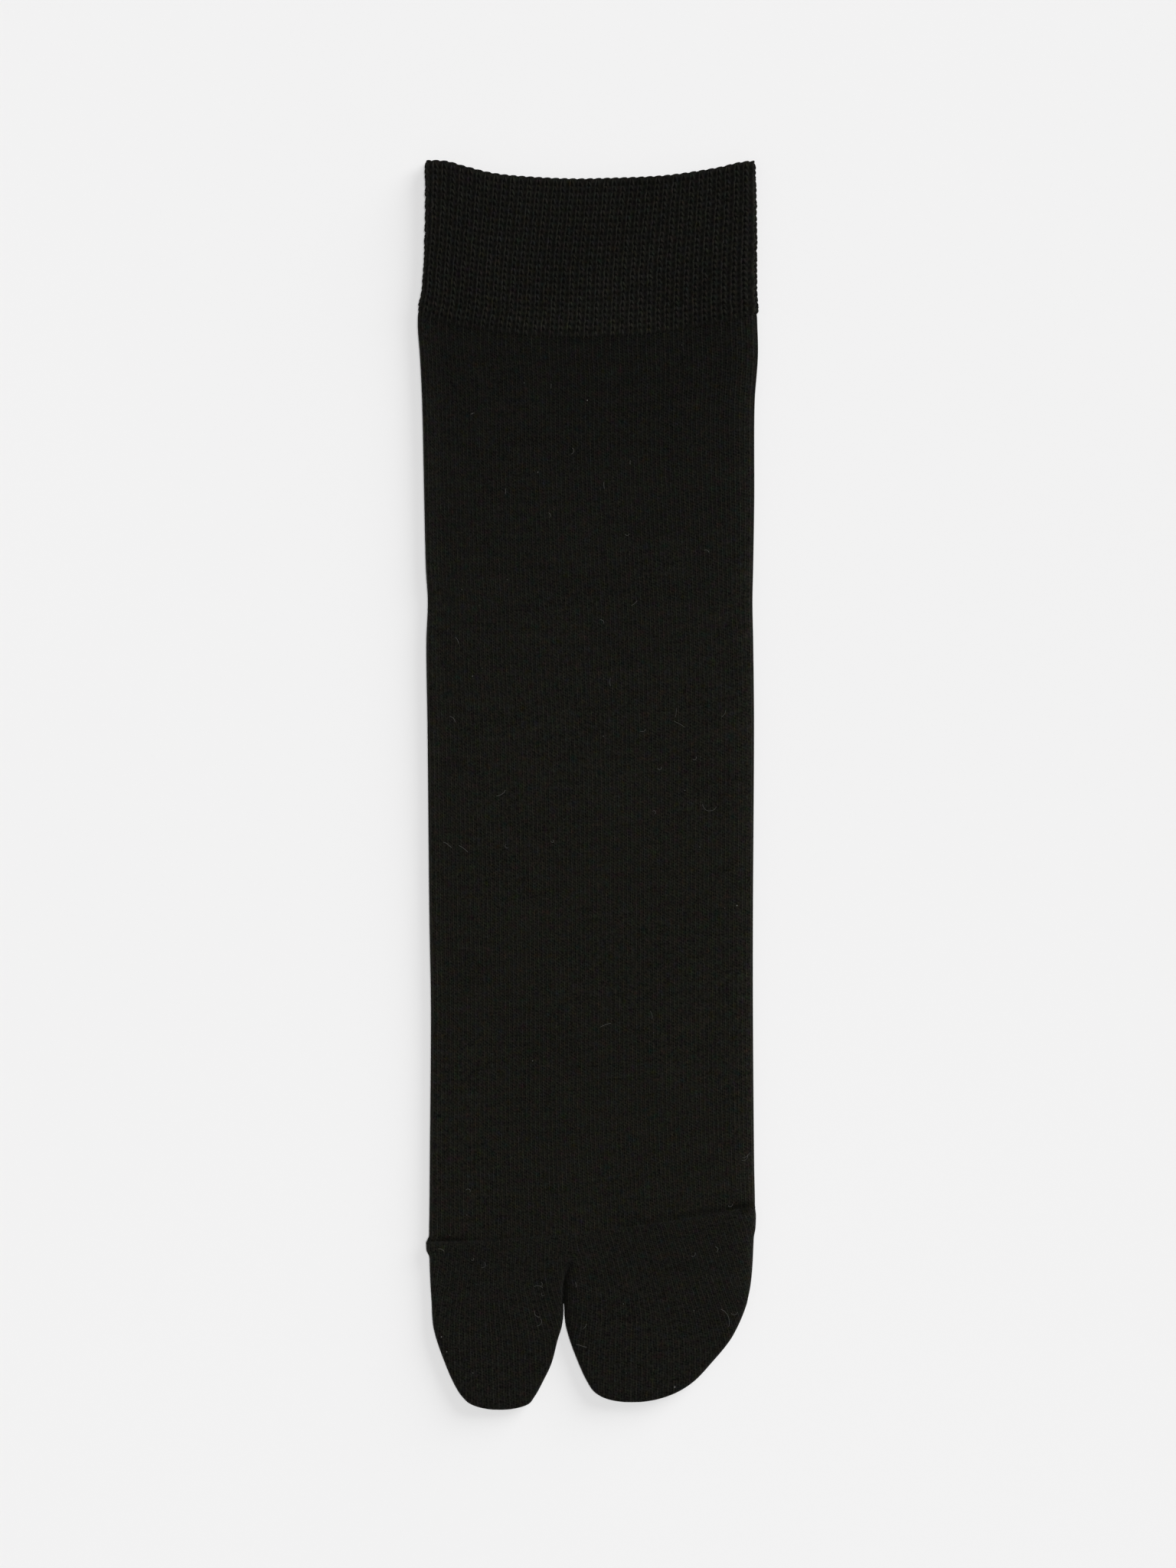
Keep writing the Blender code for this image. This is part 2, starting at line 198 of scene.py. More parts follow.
# %% The rim, the cuff's end and the toe seam
RimRow = namedtuple("RimRow", "side down")
RIM = (
    RimRow(-1.0, 0.7),
    RimRow(-0.88, 1.0),
    RimRow(-0.78, 2.2),
    RimRow(-0.6, 4.1),
    RimRow(-0.4, 5.0),
    RimRow(-0.1, 5.6),
    RimRow(0.15, 5.4),
    RimRow(0.42, 4.9),
    RimRow(0.6, 4.0),
    RimRow(0.8, 2.5),
    RimRow(0.9, 1.4),
    RimRow(1.0, 0.8),
)
rim_down = line_through(RIM, "side", "down")
CUFF_SIDE_HEIGHT = 40.6
CUFF_MIDDLE_HEIGHT = 47.1
CUFF_END_POWER = 0.8
SeamRow = namedtuple("SeamRow", "across down")
TOE_SEAM = (
    SeamRow(-43.0, 285.5),
    SeamRow(-32.0, 285.2),
    SeamRow(-22.0, 284.7),
    SeamRow(-12.0, 284.2),
    SeamRow(-3.6, 283.4),
    SeamRow(4.4, 282.4),
    SeamRow(17.0, 280.9),
    SeamRow(24.0, 279.8),
    SeamRow(33.0, 278.2),
    SeamRow(43.6, 276.4),
)
seam_at = line_through(TOE_SEAM, "across", "down")


def hang(side, power=1.0):
    """A share from 0 at the side folds to 1 in the middle."""
    return max(1.0 - side * side, 0.0) ** power


def cuff_end_down(side):
    return CUFF_SIDE_HEIGHT + (CUFF_MIDDLE_HEIGHT - CUFF_SIDE_HEIGHT) * hang(side, CUFF_END_POWER)


def seam_down(side):
    return seam_at(side * TOE_SEAM[-1].across)


print(f"the cuff is {cuff_end_down(0) - rim_down(0):.1f} mm high in its middle")

# %% [markdown]
# ## The way the wales wander
# A wale is a column of stitches. The wales run from the rim to the toe seam, but not quite straight:
# under the cuff they lie a little to the left, from the ankle on they come back, and near the toe
# they bear right. Each row of the table gives a shift for all of them, and a spread that pushes those
# on either side apart. They can't cross the side folds, so there they don't wander at all.

# %% How far the wales wander sideways
WanderRow = namedtuple("WanderRow", "down shift spread")
WANDER = (
    WanderRow(0.0, 0.1, -0.8),
    WanderRow(7.0, -0.4, -0.8),
    WanderRow(26.0, -2.4, -0.8),
    WanderRow(36.0, -2.75, -0.8),
    WanderRow(47.0, -2.85, -0.8),
    WanderRow(65.0, -2.75, -0.6),
    WanderRow(90.0, -2.25, 0.0),
    WanderRow(109.0, -1.6, 1.0),
    WanderRow(122.0, -1.1, 1.6),
    WanderRow(135.0, -0.7, 1.4),
    WanderRow(150.0, -0.4, 0.7),
    WanderRow(190.0, 0.0, 0.0),
    WanderRow(235.0, 0.0, 0.0),
    WanderRow(255.0, 0.2, 0.1),
    WanderRow(270.0, 0.75, 0.5),
    WanderRow(286.0, 1.4, 0.8),
)
shift_at = line_through(WANDER, "down", "shift")
spread_at = line_through(WANDER, "down", "spread")


def wander(down, side):
    """How far a wale has wandered to the right, in millimetres."""
    return shift_at(down) * hang(side, 0.5) + spread_at(down) * side * hang(side)


print(f"at the cuff's end the wales are {-wander(47.0, 0.0):.1f} mm left of where they will end up")

# %% [markdown]
# ## The section of a flattened tube
# Cut a laid sock across and the cut is a long, thin loop: a flat instep side, a round fold, a flat
# sole side and another round fold. "turn" goes once round it: 0 is the outermost point of the left
# fold, 1 that of the right fold by way of the instep, and 2 is back at the start by way of the sole.
# A ridge or a stitch is raised from it by "lift", straight out from the cloth.

# %% Going round a flattened tube
RIB_RISE = 0.6
CUFF_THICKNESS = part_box("cuff")[1].z / MM - RIB_RISE
LEG_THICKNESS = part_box("toe")[1].z / MM
SectionPoint = namedtuple("SectionPoint", "across height upper")


def side_path(left, right, thickness):
    """The length of the way from one fold's outermost point over the instep to the other's."""
    return right - left - thickness + math.pi * thickness / 2


def section_point(turn, left, right, thickness, lift):
    """A point of the section, and how far its surface looks upwards, from 0 to 1."""
    share = turn if turn <= 1.0 else 2.0 - turn
    facing = 1.0 if turn <= 1.0 else -1.0
    radius = thickness / 2
    whole = side_path(left, right, thickness)
    path = whole * share
    quarter = math.pi * radius / 2
    if path < quarter:
        angle = math.pi - path / radius
        centre = left + radius
    elif path > whole - quarter:
        angle = (whole - path) / radius
        centre = right - radius
    else:
        angle = math.pi / 2
        centre = left + radius + path - quarter
    across = centre + (radius + lift) * math.cos(angle)
    height = radius + facing * (radius + lift) * math.sin(angle)
    return SectionPoint(across, height, max(facing * math.sin(angle), 0.0))


def side_of(across, left, right):
    """Where a place lies between the folds, from -1 at the left one to 1 at the right one."""
    return clamped((2 * across - left - right) / (right - left), -1.0)


print(f"the cuff is {CUFF_THICKNESS:.1f} mm thick between its ribs, the leg {LEG_THICKNESS:.1f} mm")

# %% [markdown]
# ## Soft folds
# Laid knitwear is never quite flat. It swells at the ankle, sinks beside the toe seam, and has a few
# long, shallow hollows where it was folded before. Each is one row of a table: a bank with round
# ends, its length along a direction, and how far it lifts the cloth. A bank fades out from its middle
# line, and past a few widths there is nothing left to add. Slow noise gives the small unevenness that
# no one would list.

# %% Hollows, swellings and waves of the upper side
FoldRow = namedtuple("FoldRow", "across down length width turn rise")
SOFT_FOLDS = (
    FoldRow(2.0, 107.0, 32.0, 11.0, 0.0, 0.35),
    FoldRow(-4.0, 116.5, 22.0, 3.4, -4.0, -0.20),
    FoldRow(18.0, 115.5, 18.0, 3.0, 5.0, -0.18),
    FoldRow(-39.5, 116.0, 3.0, 5.0, 0.0, -0.35),
    FoldRow(40.0, 119.0, 3.0, 5.0, 0.0, -0.30),
    FoldRow(-26.8, 273.5, 9.0, 2.4, -9.0, -0.16),
    FoldRow(23.0, 267.6, 12.0, 2.4, -6.0, -0.16),
    FoldRow(29.0, 294.5, 20.0, 5.0, -3.0, -0.30),
    FoldRow(30.0, 288.0, 22.0, 6.0, -4.0, 0.15),
    FoldRow(-36.0, 289.5, 6.0, 2.6, -4.0, -0.25),
    FoldRow(-40.0, 286.6, 2.0, 2.6, 0.0, 0.30),
    FoldRow(41.6, 280.0, 1.0, 3.2, 0.0, 0.25),
    FoldRow(1.5, 296.0, 5.0, 8.0, 0.0, -0.25),
)
NOTHING_LEFT = 12.0
WaveRow = namedtuple("WaveRow", "across down rise")
WAVES = (
    WaveRow(24.0, 34.0, 0.22),
    WaveRow(8.0, 11.0, 0.08),
)


def bank(fold, across, down):
    """How far one soft fold moves the cloth at a place."""
    turn = math.radians(fold.turn)
    right = across - fold.across
    below = down - fold.down
    along = right * math.cos(turn) + below * math.sin(turn)
    beside = below * math.cos(turn) - right * math.sin(turn)
    beyond = max(abs(along) - fold.length / 2, 0.0)
    far = (beyond**2 + beside**2) / (fold.width / 2) ** 2
    return fold.rise * math.exp(-far) if far < NOTHING_LEFT else 0.0


def waves(across, down):
    """The slow unevenness of cloth that lies loose."""
    total = 0.0
    for wave in WAVES:
        total += wave.rise * noise.noise(Vector((across / wave.across, down / wave.down, wave.rise)))
    return total


print(f"at the ankle the cloth rises {bank(SOFT_FOLDS[0], 2.0, 107.0):.2f} mm")

# %% [markdown]
# ## The crease above the split
# The two toe pockets are knitted wider than the foot, so where they part one slips under the other.
# Here the big toe's pocket lies on top, and its edge runs on above the split as a crease: steep on
# the big toe's side, easing out slowly on the other side, and gone after about twelve millimetres. A
# crease could be cut into the mesh, but a depth that is asked for at each place also tells the
# material how much painted shade to put down there.

# %% The crease
CreaseRow = namedtuple("CreaseRow", "down across depth")
CREASE = (
    CreaseRow(288.0, -3.8, 0.0),
    CreaseRow(290.0, -4.3, 0.25),
    CreaseRow(292.0, -5.1, 0.65),
    CreaseRow(294.5, -6.0, 1.30),
    CreaseRow(297.5, -6.5, 1.40),
    CreaseRow(303.5, -6.6, 1.40),
)
crease_across = line_through(CREASE, "down", "across")
crease_depth = line_through(CREASE, "down", "depth")
LIP_RISE = 0.15
LIP_AT = -1.5
LIP_WIDTH_SQUARED = 1.2
WALL_WIDTH = 0.42
WALL_EASES = 0.9
NEAR_SHARE, NEAR_WIDTH = 0.72, 1.0
WIDE_SHARE, WIDE_WIDTH = 0.28, 4.0


def hump(off, width):
    """1 in the middle of a soft, round line, fading to nothing on both sides."""
    return math.exp(-((off / width) ** 2))


def crease(across, down):
    """How far the crease above the split moves the cloth: down beside the edge, up along it."""
    if down < CREASE[0].down:
        return 0.0
    depth = crease_depth(down)
    off = across - crease_across(down)
    if off < 0.0:
        lip = LIP_RISE * math.exp(-((off - LIP_AT) ** 2) / LIP_WIDTH_SQUARED)
        wall = WALL_WIDTH + WALL_EASES * (1.0 - depth / CREASE[-1].depth)
        return depth * (lip - hump(off, wall))
    return -depth * (NEAR_SHARE * hump(off, NEAR_WIDTH) + WIDE_SHARE * hump(off, WIDE_WIDTH))


print(f"the crease is {-crease(-6.7, 300.0):.2f} mm deep near the split")

# %% [markdown]
# ## The cloth beside the toe seam
# The toe seam is tighter than the cloth it joins. So the cloth sinks just above it and swells just
# below, most at the seam's two ends, where there is also a dimple on each side. On the right the
# hollow is wider and lies a little higher. At the side folds the seam's own bulk pushes the cloth
# outwards.

# %% The hollow, the dimples and the bunches
SeamDepthRow = namedtuple("SeamDepthRow", "across strength")
SEAM_STRENGTH = (
    SeamDepthRow(-43.0, 1.0),
    SeamDepthRow(-34.0, 0.9),
    SeamDepthRow(-24.0, 0.35),
    SeamDepthRow(-4.0, 0.30),
    SeamDepthRow(14.0, 0.45),
    SeamDepthRow(26.0, 0.75),
    SeamDepthRow(36.0, 0.80),
    SeamDepthRow(43.6, 0.75),
)
seam_strength = line_through(SEAM_STRENGTH, "across", "strength")
SEAM_REACH = 8.0
HOLLOW_DEPTH = 0.80
HOLLOW_WIDTH, WIDER_ON_THE_RIGHT = 0.60, 0.35
HIGHER_ON_THE_RIGHT = 0.6
RIGHT_BEGINS, RIGHT_WIDTH = -15.0, 35.0
SWELL_RISE = 0.22
SWELL_BELOW = 2.2
SWELL_WIDTH = 2.6
DIMPLES = (
    FoldRow(39.8, 277.0, 1.6, 3.6, -20.0, -0.7),
    FoldRow(-36.2, 284.7, 5.5, 1.8, 2.0, -0.45),
)
BunchRow = namedtuple("BunchRow", "across down shift height")
SEAM_BUNCHES = (BunchRow(-41.5, 286.9, -0.8, 2.1), BunchRow(43.5, 280.4, 0.35, 3.2))
BUNCH_REACH = 3.0


def seam_hollow(across, down):
    """How far the cloth sinks just above the toe seam and swells just below it."""
    below = down - seam_at(across)
    if abs(below) > SEAM_REACH:
        return 0.0
    right = clamped((across - RIGHT_BEGINS) / RIGHT_WIDTH)
    width = HOLLOW_WIDTH + WIDER_ON_THE_RIGHT * right
    hollow = HOLLOW_DEPTH * hump(below + HIGHER_ON_THE_RIGHT * right, width)
    rise = SWELL_RISE * hump(below - SWELL_BELOW, SWELL_WIDTH)
    return (rise - hollow) * seam_strength(across)


def narrow_hollows(across, down):
    """The seam's hollow, the crease, and the dimples near the seam's two ends."""
    dimples = sum(bank(dimple, across, down) for dimple in DIMPLES)
    return seam_hollow(across, down) + crease(across, down) + dimples


def bunched(across, down):
    """How far the cloth is pushed outwards where the seam's bulk is bunched at a side fold."""
    total = 0.0
    for bunch in SEAM_BUNCHES:
        far = ((down - bunch.down) / bunch.height) ** 4 + ((across - bunch.across) / BUNCH_REACH) ** 2
        total += bunch.shift * math.exp(-far)
    return total


print(f"at the big toe's side the seam pushes the cloth {-bunched(-41.5, 286.9):.1f} mm to the left")

# %% [markdown]
# ## All the unevenness together
# A narrow hollow is also darker than open cloth, because little light gets in. A render gives part of
# that by itself, but the fine gaps between the stitches, which would do the rest, aren't modelled. So
# each point of the cloth also carries a painted shade for the hollows, and the material multiplies its
# colour by it.

# %% The relief and the painted shade of the hollows
UNSHADED_CLOTH = 1.05
DARKER_A_MILLIMETRE = 0.55
DARKEST = 0.2


def painted_hollow_shade(across, down):
    """How much light gets in, as a painted shade for the colour: 1 on open cloth, less in the narrow
    hollows.
    """
    return clamped(UNSHADED_CLOTH + DARKER_A_MILLIMETRE * narrow_hollows(across, down), DARKEST)


def relief(across, down):
    """All that moves the upper side from its flat form, in millimetres."""
    total = waves(across, down) + narrow_hollows(across, down)
    for fold in SOFT_FOLDS:
        total += bank(fold, across, down)
    return total


print(f"beside the crease little light gets in: {painted_hollow_shade(-6.7, 300.0):.2f}")

# %% [markdown]
# ## A sheet of cloth from a grid
# Blender's grid is the natural start for cloth: rows and columns of squares, as wales and courses
# are. The grid is laid down flat, and then each of its points is moved to its place on the sock. Each
# point also carries its place in the knitting as a UV: which wale it is on, and which course. The
# materials read that, so the stitches follow the cloth round every fold.

# %% Lay a sheet over rings of points
# Each point carries, besides its place, the painted shade of the hollows, which the material
# multiplies into its colour.
Dot = namedtuple("Dot", "place knit open", defaults=(1.0,))
KNIT_LAYER = "UVMap"
PAINTED_SHADE_LAYER = "painted_hollow_shade"


def new_cloth():
    """An empty mesh whose faces will carry their place in the knitting, and the painted shade of the
    hollows.
    """
    mesh = bmesh.new()
    mesh.loops.layers.uv.new(KNIT_LAYER)
    mesh.loops.layers.uv.new(PAINTED_SHADE_LAYER)
    return mesh


def lay_sheet(mesh, rings):
    """Make a grid with a row of points for each ring, and move the points onto the rings."""
    columns = len(rings[0]) - 1
    rows = len(rings) - 1
    made = bmesh.ops.create_grid(mesh, x_segments=columns, y_segments=rows, size=0.5)
    knit_layer = mesh.loops.layers.uv[KNIT_LAYER]
    painted_shade_layer = mesh.loops.layers.uv[PAINTED_SHADE_LAYER]
    dots = {}
    for vert in made["verts"]:
        column = round((vert.co.x + 0.5) * columns)
        row = round((vert.co.y + 0.5) * rows)
        dots[vert] = rings[row][column]
    for vert, dot in dots.items():
        vert.co = dot.place
    for face in {face for vert in made["verts"] for face in vert.link_faces}:
        for loop in face.loops:
            loop[knit_layer].uv = dots[loop.vert].knit
            loop[painted_shade_layer].uv = (dots[loop.vert].open, 0.0)


def spread(start, end, steps):
    """Even places from start towards end, without the end itself."""
    return [start + (end - start) * step / steps for step in range(steps)]


print("half of a run of four steps:", spread(0.0, 1.0, 4)[:2])

# %% [markdown]
# ## From a mesh to a finished piece
# Every piece ends in the same way. Points that lie on each other are merged, which closes the seams
# where a sheet comes back to its start. Only then can Blender tell the outside from the inside and
# turn all faces outwards. The object stays at the origin, because its points already are where they
# belong.

# %% Finish a piece
SAME_POINT = 1e-6


def add_object(name, data):
    """A new object in the scene."""
    made = bpy.data.objects.new(name, data)
    bpy.context.scene.collection.objects.link(made)
    return made


def as_data(mesh, name):
    """Turn a bmesh into mesh data, and free it."""
    data = bpy.data.meshes.new(name)
    mesh.to_mesh(data)
    mesh.free()
    return data


def finish_cloth(mesh, name, material):
    """Close a mesh's seams, turn its faces outwards and make it a piece that rides on the body."""
    bmesh.ops.remove_doubles(mesh, verts=mesh.verts, dist=SAME_POINT)
    bmesh.ops.recalc_face_normals(mesh, faces=mesh.faces)
    data = as_data(mesh, name)
    data.shade_smooth()
    data.materials.append(material)
    piece = add_object(name, data)
    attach(piece, "root")
    triangles = sum(len(face.vertices) - 2 for face in data.polygons)
    print(f"{name}: {triangles} triangles")
    return piece


print("points closer than", SAME_POINT * 1e6, "thousandths of a millimetre are merged")

# %% [markdown]
# ## Shader maths as Python
# A knit pattern is arithmetic: fractions, differences and products. Written as nodes it is hard to
# read, so a small class wraps a socket and lets Python's operators add the Math nodes. A second class
# holds one material's nodes. Its method "add" adds any other kind of node, and the short ones below
# it only fill in what "add" is most often asked for. A Math node would turn a colour grey, so colours
# go through "vector", which works on all three numbers at once.

# %% Sockets that understand arithmetic
class Wire:
    """A node's output that can be added, multiplied and so on, each time with a Math node."""

    def __init__(self, board, socket):
        self.board = board
        self.socket = socket

    def math(self, operation, *others):
        sockets = {0: self}
        sockets.update({place + 1: other for place, other in enumerate(others)})
        return self.board.add("ShaderNodeMath", {"operation": operation}, sockets)

    def __add__(self, other):
        return self.math("ADD", other)

    __radd__ = __add__

    def __sub__(self, other):
        return self.math("SUBTRACT", other)

    def __rsub__(self, other):
        return self * -1.0 + other

    def __mul__(self, other):
        return self.math("MULTIPLY", other)

    __rmul__ = __mul__

    def __truediv__(self, other):
        return self.math("DIVIDE", other)

    def __pow__(self, other):
        return self.math("POWER", other)

    def __abs__(self):
        return self.math("ABSOLUTE")

    def fraction(self):
        return self.math("FRACT")

    def whole(self):
        return self.math("FLOOR")

    def below(self, limit):
        return self.math("LESS_THAN", limit)

    def at_least(self, limit):
        return self.math("MAXIMUM", limit)

    def at_most(self, limit):
        return self.math("MINIMUM", limit)

    def share(self):
        """The value, but not below 0 and not above 1."""
        return self.at_least(0.0).at_most(1.0)

    def part(self, index):
        """One of a place's three numbers: 0 is across, 1 is along and 2 is up."""
        return self.board.add("ShaderNodeSeparateXYZ", {}, {0: self}, out=index)


print("a wire knows", sum(callable(value) for value in vars(Wire).values()), "operations")

# %% A board that holds one material's nodes
class Board:
    """One material's nodes, with its shader's fixed values set at the start."""

    def __init__(self, name, fixed):
        self.material = bpy.data.materials.new(name)
        self.material.use_nodes = True
        self.tree = self.material.node_tree
        self.shader = self.tree.nodes["Principled BSDF"]
        for socket, value in fixed.items():
            self.shader.inputs[socket].default_value = value

    def add(self, kind, settings=None, sockets=None, out=0):
        """Add a node, set its settings, then fill its sockets with values or wires."""
        node = self.tree.nodes.new(kind)
        for setting, value in (settings or {}).items():
            setattr(node, setting, value)
        for socket, value in (sockets or {}).items():
            self.plug(node.inputs[socket], value)
        return Wire(self, node.outputs[out])

    def plug(self, socket, value):
        if isinstance(value, Wire):
            self.tree.links.new(value.socket, socket)
        else:
            socket.default_value = value

    def drive(self, socket, value):
        self.plug(self.shader.inputs[socket], value)

    def spot(self):
        """The place on the piece, in metres."""
        return self.add("ShaderNodeTexCoord", out="Object")

    def layer(self, name):
        """What the mesh carries in one of its layers."""
        return self.add("ShaderNodeUVMap", {"uv_map": name})

    def pair(self, first, second):
        """Two numbers put together as a place."""
        return self.add("ShaderNodeCombineXYZ", {}, {0: first, 1: second})

    def vector(self, operation, *values):
        """Maths on colours or places, on all three numbers at once."""
        return self.add("ShaderNodeVectorMath", {"operation": operation}, dict(enumerate(values)))

    def tint(self, colour, strength):
        """A colour times a number that varies."""
        sockets = {"Vector": colour, "Scale": strength}
        return self.add("ShaderNodeVectorMath", {"operation": "SCALE"}, sockets)

    def noise(self, place, scale, detail=2.0, out=0):
        """Smooth noise from 0 to 1. Its output 0 is one number, and its output 1 is a colour."""
        sockets = {"Vector": place, "Scale": scale, "Detail": detail}
        return self.add("ShaderNodeTexNoise", {}, sockets, out)

    def bump(self, height, distance, strength, under=None):
        """Small relief, on top of another bump if there is one."""
        sockets = {"Strength": strength, "Distance": distance, "Height": height}
        if under is not None:
            sockets["Normal"] = under
        return self.add("ShaderNodeBump", {}, sockets)


trial = Board("trial", {})
print("half of a wire is made by a", (trial.spot().part(0) * 0.5).socket.node.bl_idname)
bpy.data.materials.remove(trial.material)

# %% [markdown]
# ## How black cotton looks
# Black cotton isn't black. It sends back about one part in a hundred of the light, a little more
# yellow than blue, and almost none of that as gloss: its fibres stand in all directions. So the
# shader is rough, has very little specular, and a low, wide sheen for the nap that catches light at
# the folds. What is the same all over is set on the shader itself. The cuff's yarn is a little bluer
# than the leg's, and "warmer" is what has to be added to its colour to reach the leg's.

# %% Fixed values of black cotton
COTTON = {
    "Metallic": 0.0,
    "Specular IOR Level": 0.05,
    "Sheen Weight": 0.03,
    "Sheen Roughness": 0.5,
    "Sheen Tint": (1.0, 0.97, 0.88, 1.0),
}
LEG_COTTON = (0.0091, 0.0088, 0.0065)
CUFF_COTTON = (0.0091, 0.0089, 0.0072)
WARMER = tuple(leg - cuff for leg, cuff in zip(LEG_COTTON, CUFF_COTTON))
print(f"the leg's cotton sends back {sum(LEG_COTTON) / 3:.2%} of the light")

# %% [markdown]
# ## A dye that hasn't taken evenly
# Black dye is a mixture of several colours that don't take evenly, so the cloth is a little redder
# here and greener there. Coloured noise gives three values at once, one for each of red, green and
# blue. Plain noise lies near its middle almost everywhere, and real dye has a few spots that stand
# out. So each value is multiplied by how far it is from the middle: what is near stays near, and what
# is far goes further.

# %% Dyed cotton
DYE_SHIFT = (0.65, 0.52, 0.80)
DYE_SCALE = 520.0
DYE_CONTRAST = 6.0
DYE_FLOOR = 0.3
CUFF_DYE = 0.78


def same(value):
    """A number three times, for maths on colours."""
    return (value, value, value)


def dyed(board, spot, strength, unevenness, cotton=CUFF_COTTON):
    """Black cotton whose dye hasn't taken evenly, times a strength."""
    shift = [value * unevenness for value in DYE_SHIFT]
    mottle = board.noise(spot, DYE_SCALE, 1.0, out=1)
    off = board.vector("SUBTRACT", mottle, same(0.5))
    far_off = board.vector("ABSOLUTE", off)
    weight = board.vector("MULTIPLY_ADD", far_off, same(DYE_CONTRAST), same(DYE_FLOOR))
    mixture = board.vector("MULTIPLY_ADD", board.vector("MULTIPLY", off, weight), shift, same(1.0))
    return board.tint(board.vector("MULTIPLY", mixture, cotton), strength)


print("red, green and blue may shift by", DYE_SHIFT)

# %% [markdown]
# ## One plain stitch
# Each stitch has two legs that meet at the top, like a roof. The left leg is steep and hardly sinks
# between one stitch and the next, so a column of left legs reads as one thin line. The right leg lies
# slanted, and there is a small slanted hole on either side of it. The leg's stitches are only 1.1 by
# 0.8 mm, and there are tens of thousands of them, so they are a pattern in the material, over ridges
# that are real. In the colour the lines are a painted highlight and the holes a painted shade.

# %% Lines and holes of plain knitting
LINE_WIDTH = 0.21
LINE_SINKS = 0.45
HOLE_WIDTH = 0.44
HOLE_HEIGHT = 0.52
HOLE_SLANT = 0.9


def swell(value, middle, reach):
    """A rounded hump: 1 at the middle, 0 from reach on."""
    off = (value - middle) / reach
    return (1.0 - off * off).at_least(0.0)


Stitch = namedtuple("Stitch", "line hole")


def plain_stitch(wale, course):
    """Where plain knitting shows its line of steep legs, and where its holes are, each from 0 to 1."""
    beside = (wale + 0.5).fraction()
    between = swell((course - beside * HOLE_SLANT).fraction(), 0.5, HOLE_HEIGHT)
    line = swell(wale.fraction(), 0.5, LINE_WIDTH) * (1.0 - between * LINE_SINKS)
    hole = swell((beside * 2.0).fraction(), 0.5, HOLE_WIDTH) * between
    return Stitch(line, hole)


print("the line of legs takes up", LINE_WIDTH * 2, "of a wale's width")

# %% [markdown]
# ## The tone of plain knitting over the sock
# Some of the tone changes slowly. Below the cuff the cloth is darker, and it gets paler and warmer
# down the leg, quickly at first. Over the right half a painted light makes the cloth paler, where it
# would catch more light from the upper right. Along both side folds a painted sheen makes it paler.
# "Tones" holds what differs between the leg and the toe: the first and the last tone and the courses
# between them, how much of the warmer colour there is, how strong the lines, the holes, the fine
# grain and the patches are, and how uneven the dye.

# %% How the tone changes slowly
Tones = namedtuple("Tones", "first last fade_over warm line hole grain patch dye")
LEG_TONES = Tones(0.625, 0.93, 180.0, 1.0, 0.50, 0.56, 2.0, 0.32, 1.0)
TOE_TONES = Tones(0.83, 0.83, 1.0, 0.5, 0.47, 0.52, 2.3, 0.15, 0.88)
FOLD_BEGINS = 0.0375
FOLD_REACH = 0.006
PAINTED_FOLD_SHEEN = 0.36
RIGHT_LIGHT_FROM = 0.012
PAINTED_RIGHT_LIGHT = 2.2


def slow_tone(board, spot, tones, share):
    """The tone at a place, with its painted light, sheen and shade, where share goes from 0 to 1 over
    the courses of the fade.
    """
    fade = 1.0 - (1.0 - share) ** 2.0
    tone = tones.first + (tones.last - tones.first) * fade
    across = spot.part(0)
    # Painted light: the right half of the cloth is made paler, as if it caught more light.
    painted_right_light = (across - RIGHT_LIGHT_FROM).at_least(0.0) * PAINTED_RIGHT_LIGHT * fade
    # Painted sheen: the cloth along both side folds is made paler, as if the light grazed it.
    painted_fold_sheen = ((abs(across) - FOLD_BEGINS) / FOLD_REACH).share()
    # Painted shade: the colour is dimmed in the narrow hollows.
    light = board.layer(PAINTED_SHADE_LAYER).part(0)
    return tone * (1.0 + painted_right_light + painted_fold_sheen * PAINTED_FOLD_SHEEN) * light


print(f"down the leg the tone goes from {LEG_TONES.first} to {LEG_TONES.last}")

# %% [markdown]
# ## The plain knit material
# It reads the wale and the course from the UV. Both wander a little, because no wale is quite
# straight. And no two stitches are alike. Some legs stand out and others don't, in stretches along a
# wale. Just under the rib every second wale stands out, as the ribs run on. The legs that stand out
# get a painted highlight in the colour, and the holes a painted shade; some holes are deeper and
# darker. Each half stitch has its own tone, and some whole rows of yarn are paler. Patches and fine
# fuzz lie over all of them. The bump has two sizes, the stitch and the fibres on it.

# %% Sizes of the small unevenness
WANDER_SCALE = 420.0
WALE_WANDER = 0.35
COURSE_WANDER = 0.8
STRETCH_ALONG = 0.50
NEXT_WALE = 5.7
LINE_UNEVEN = 5.0
LINE_GONE_BELOW = 1.5
RIB_RUNS_ON = 15.0
EVERY_SECOND = 1.6
OTHERS_LESS = 0.6
HOLE_UNEVEN = 1.6
BUMP_LINE, BUMP_EACH = 0.5, 0.2
PATCH_SCALE = 170.0
FUZZ_SCALE = 2000.0
ROW_ALONG = 0.06
NEXT_ROW = 3.7
ROW_UNEVEN = 0.45
EACH_UNEVEN = 0.5
DARKEST_SPOT = 0.1
ROUGHEST = 0.94
LINE_SMOOTHER = 0.1
PLAIN_BUMP = 0.8
STITCH_DEPTH = 0.00016
FUZZ_DEPTH = 0.00005
print(f"a patch is about {1000 / PATCH_SCALE:.0f} mm across, and a bit of fuzz {1000 / FUZZ_SCALE} mm")

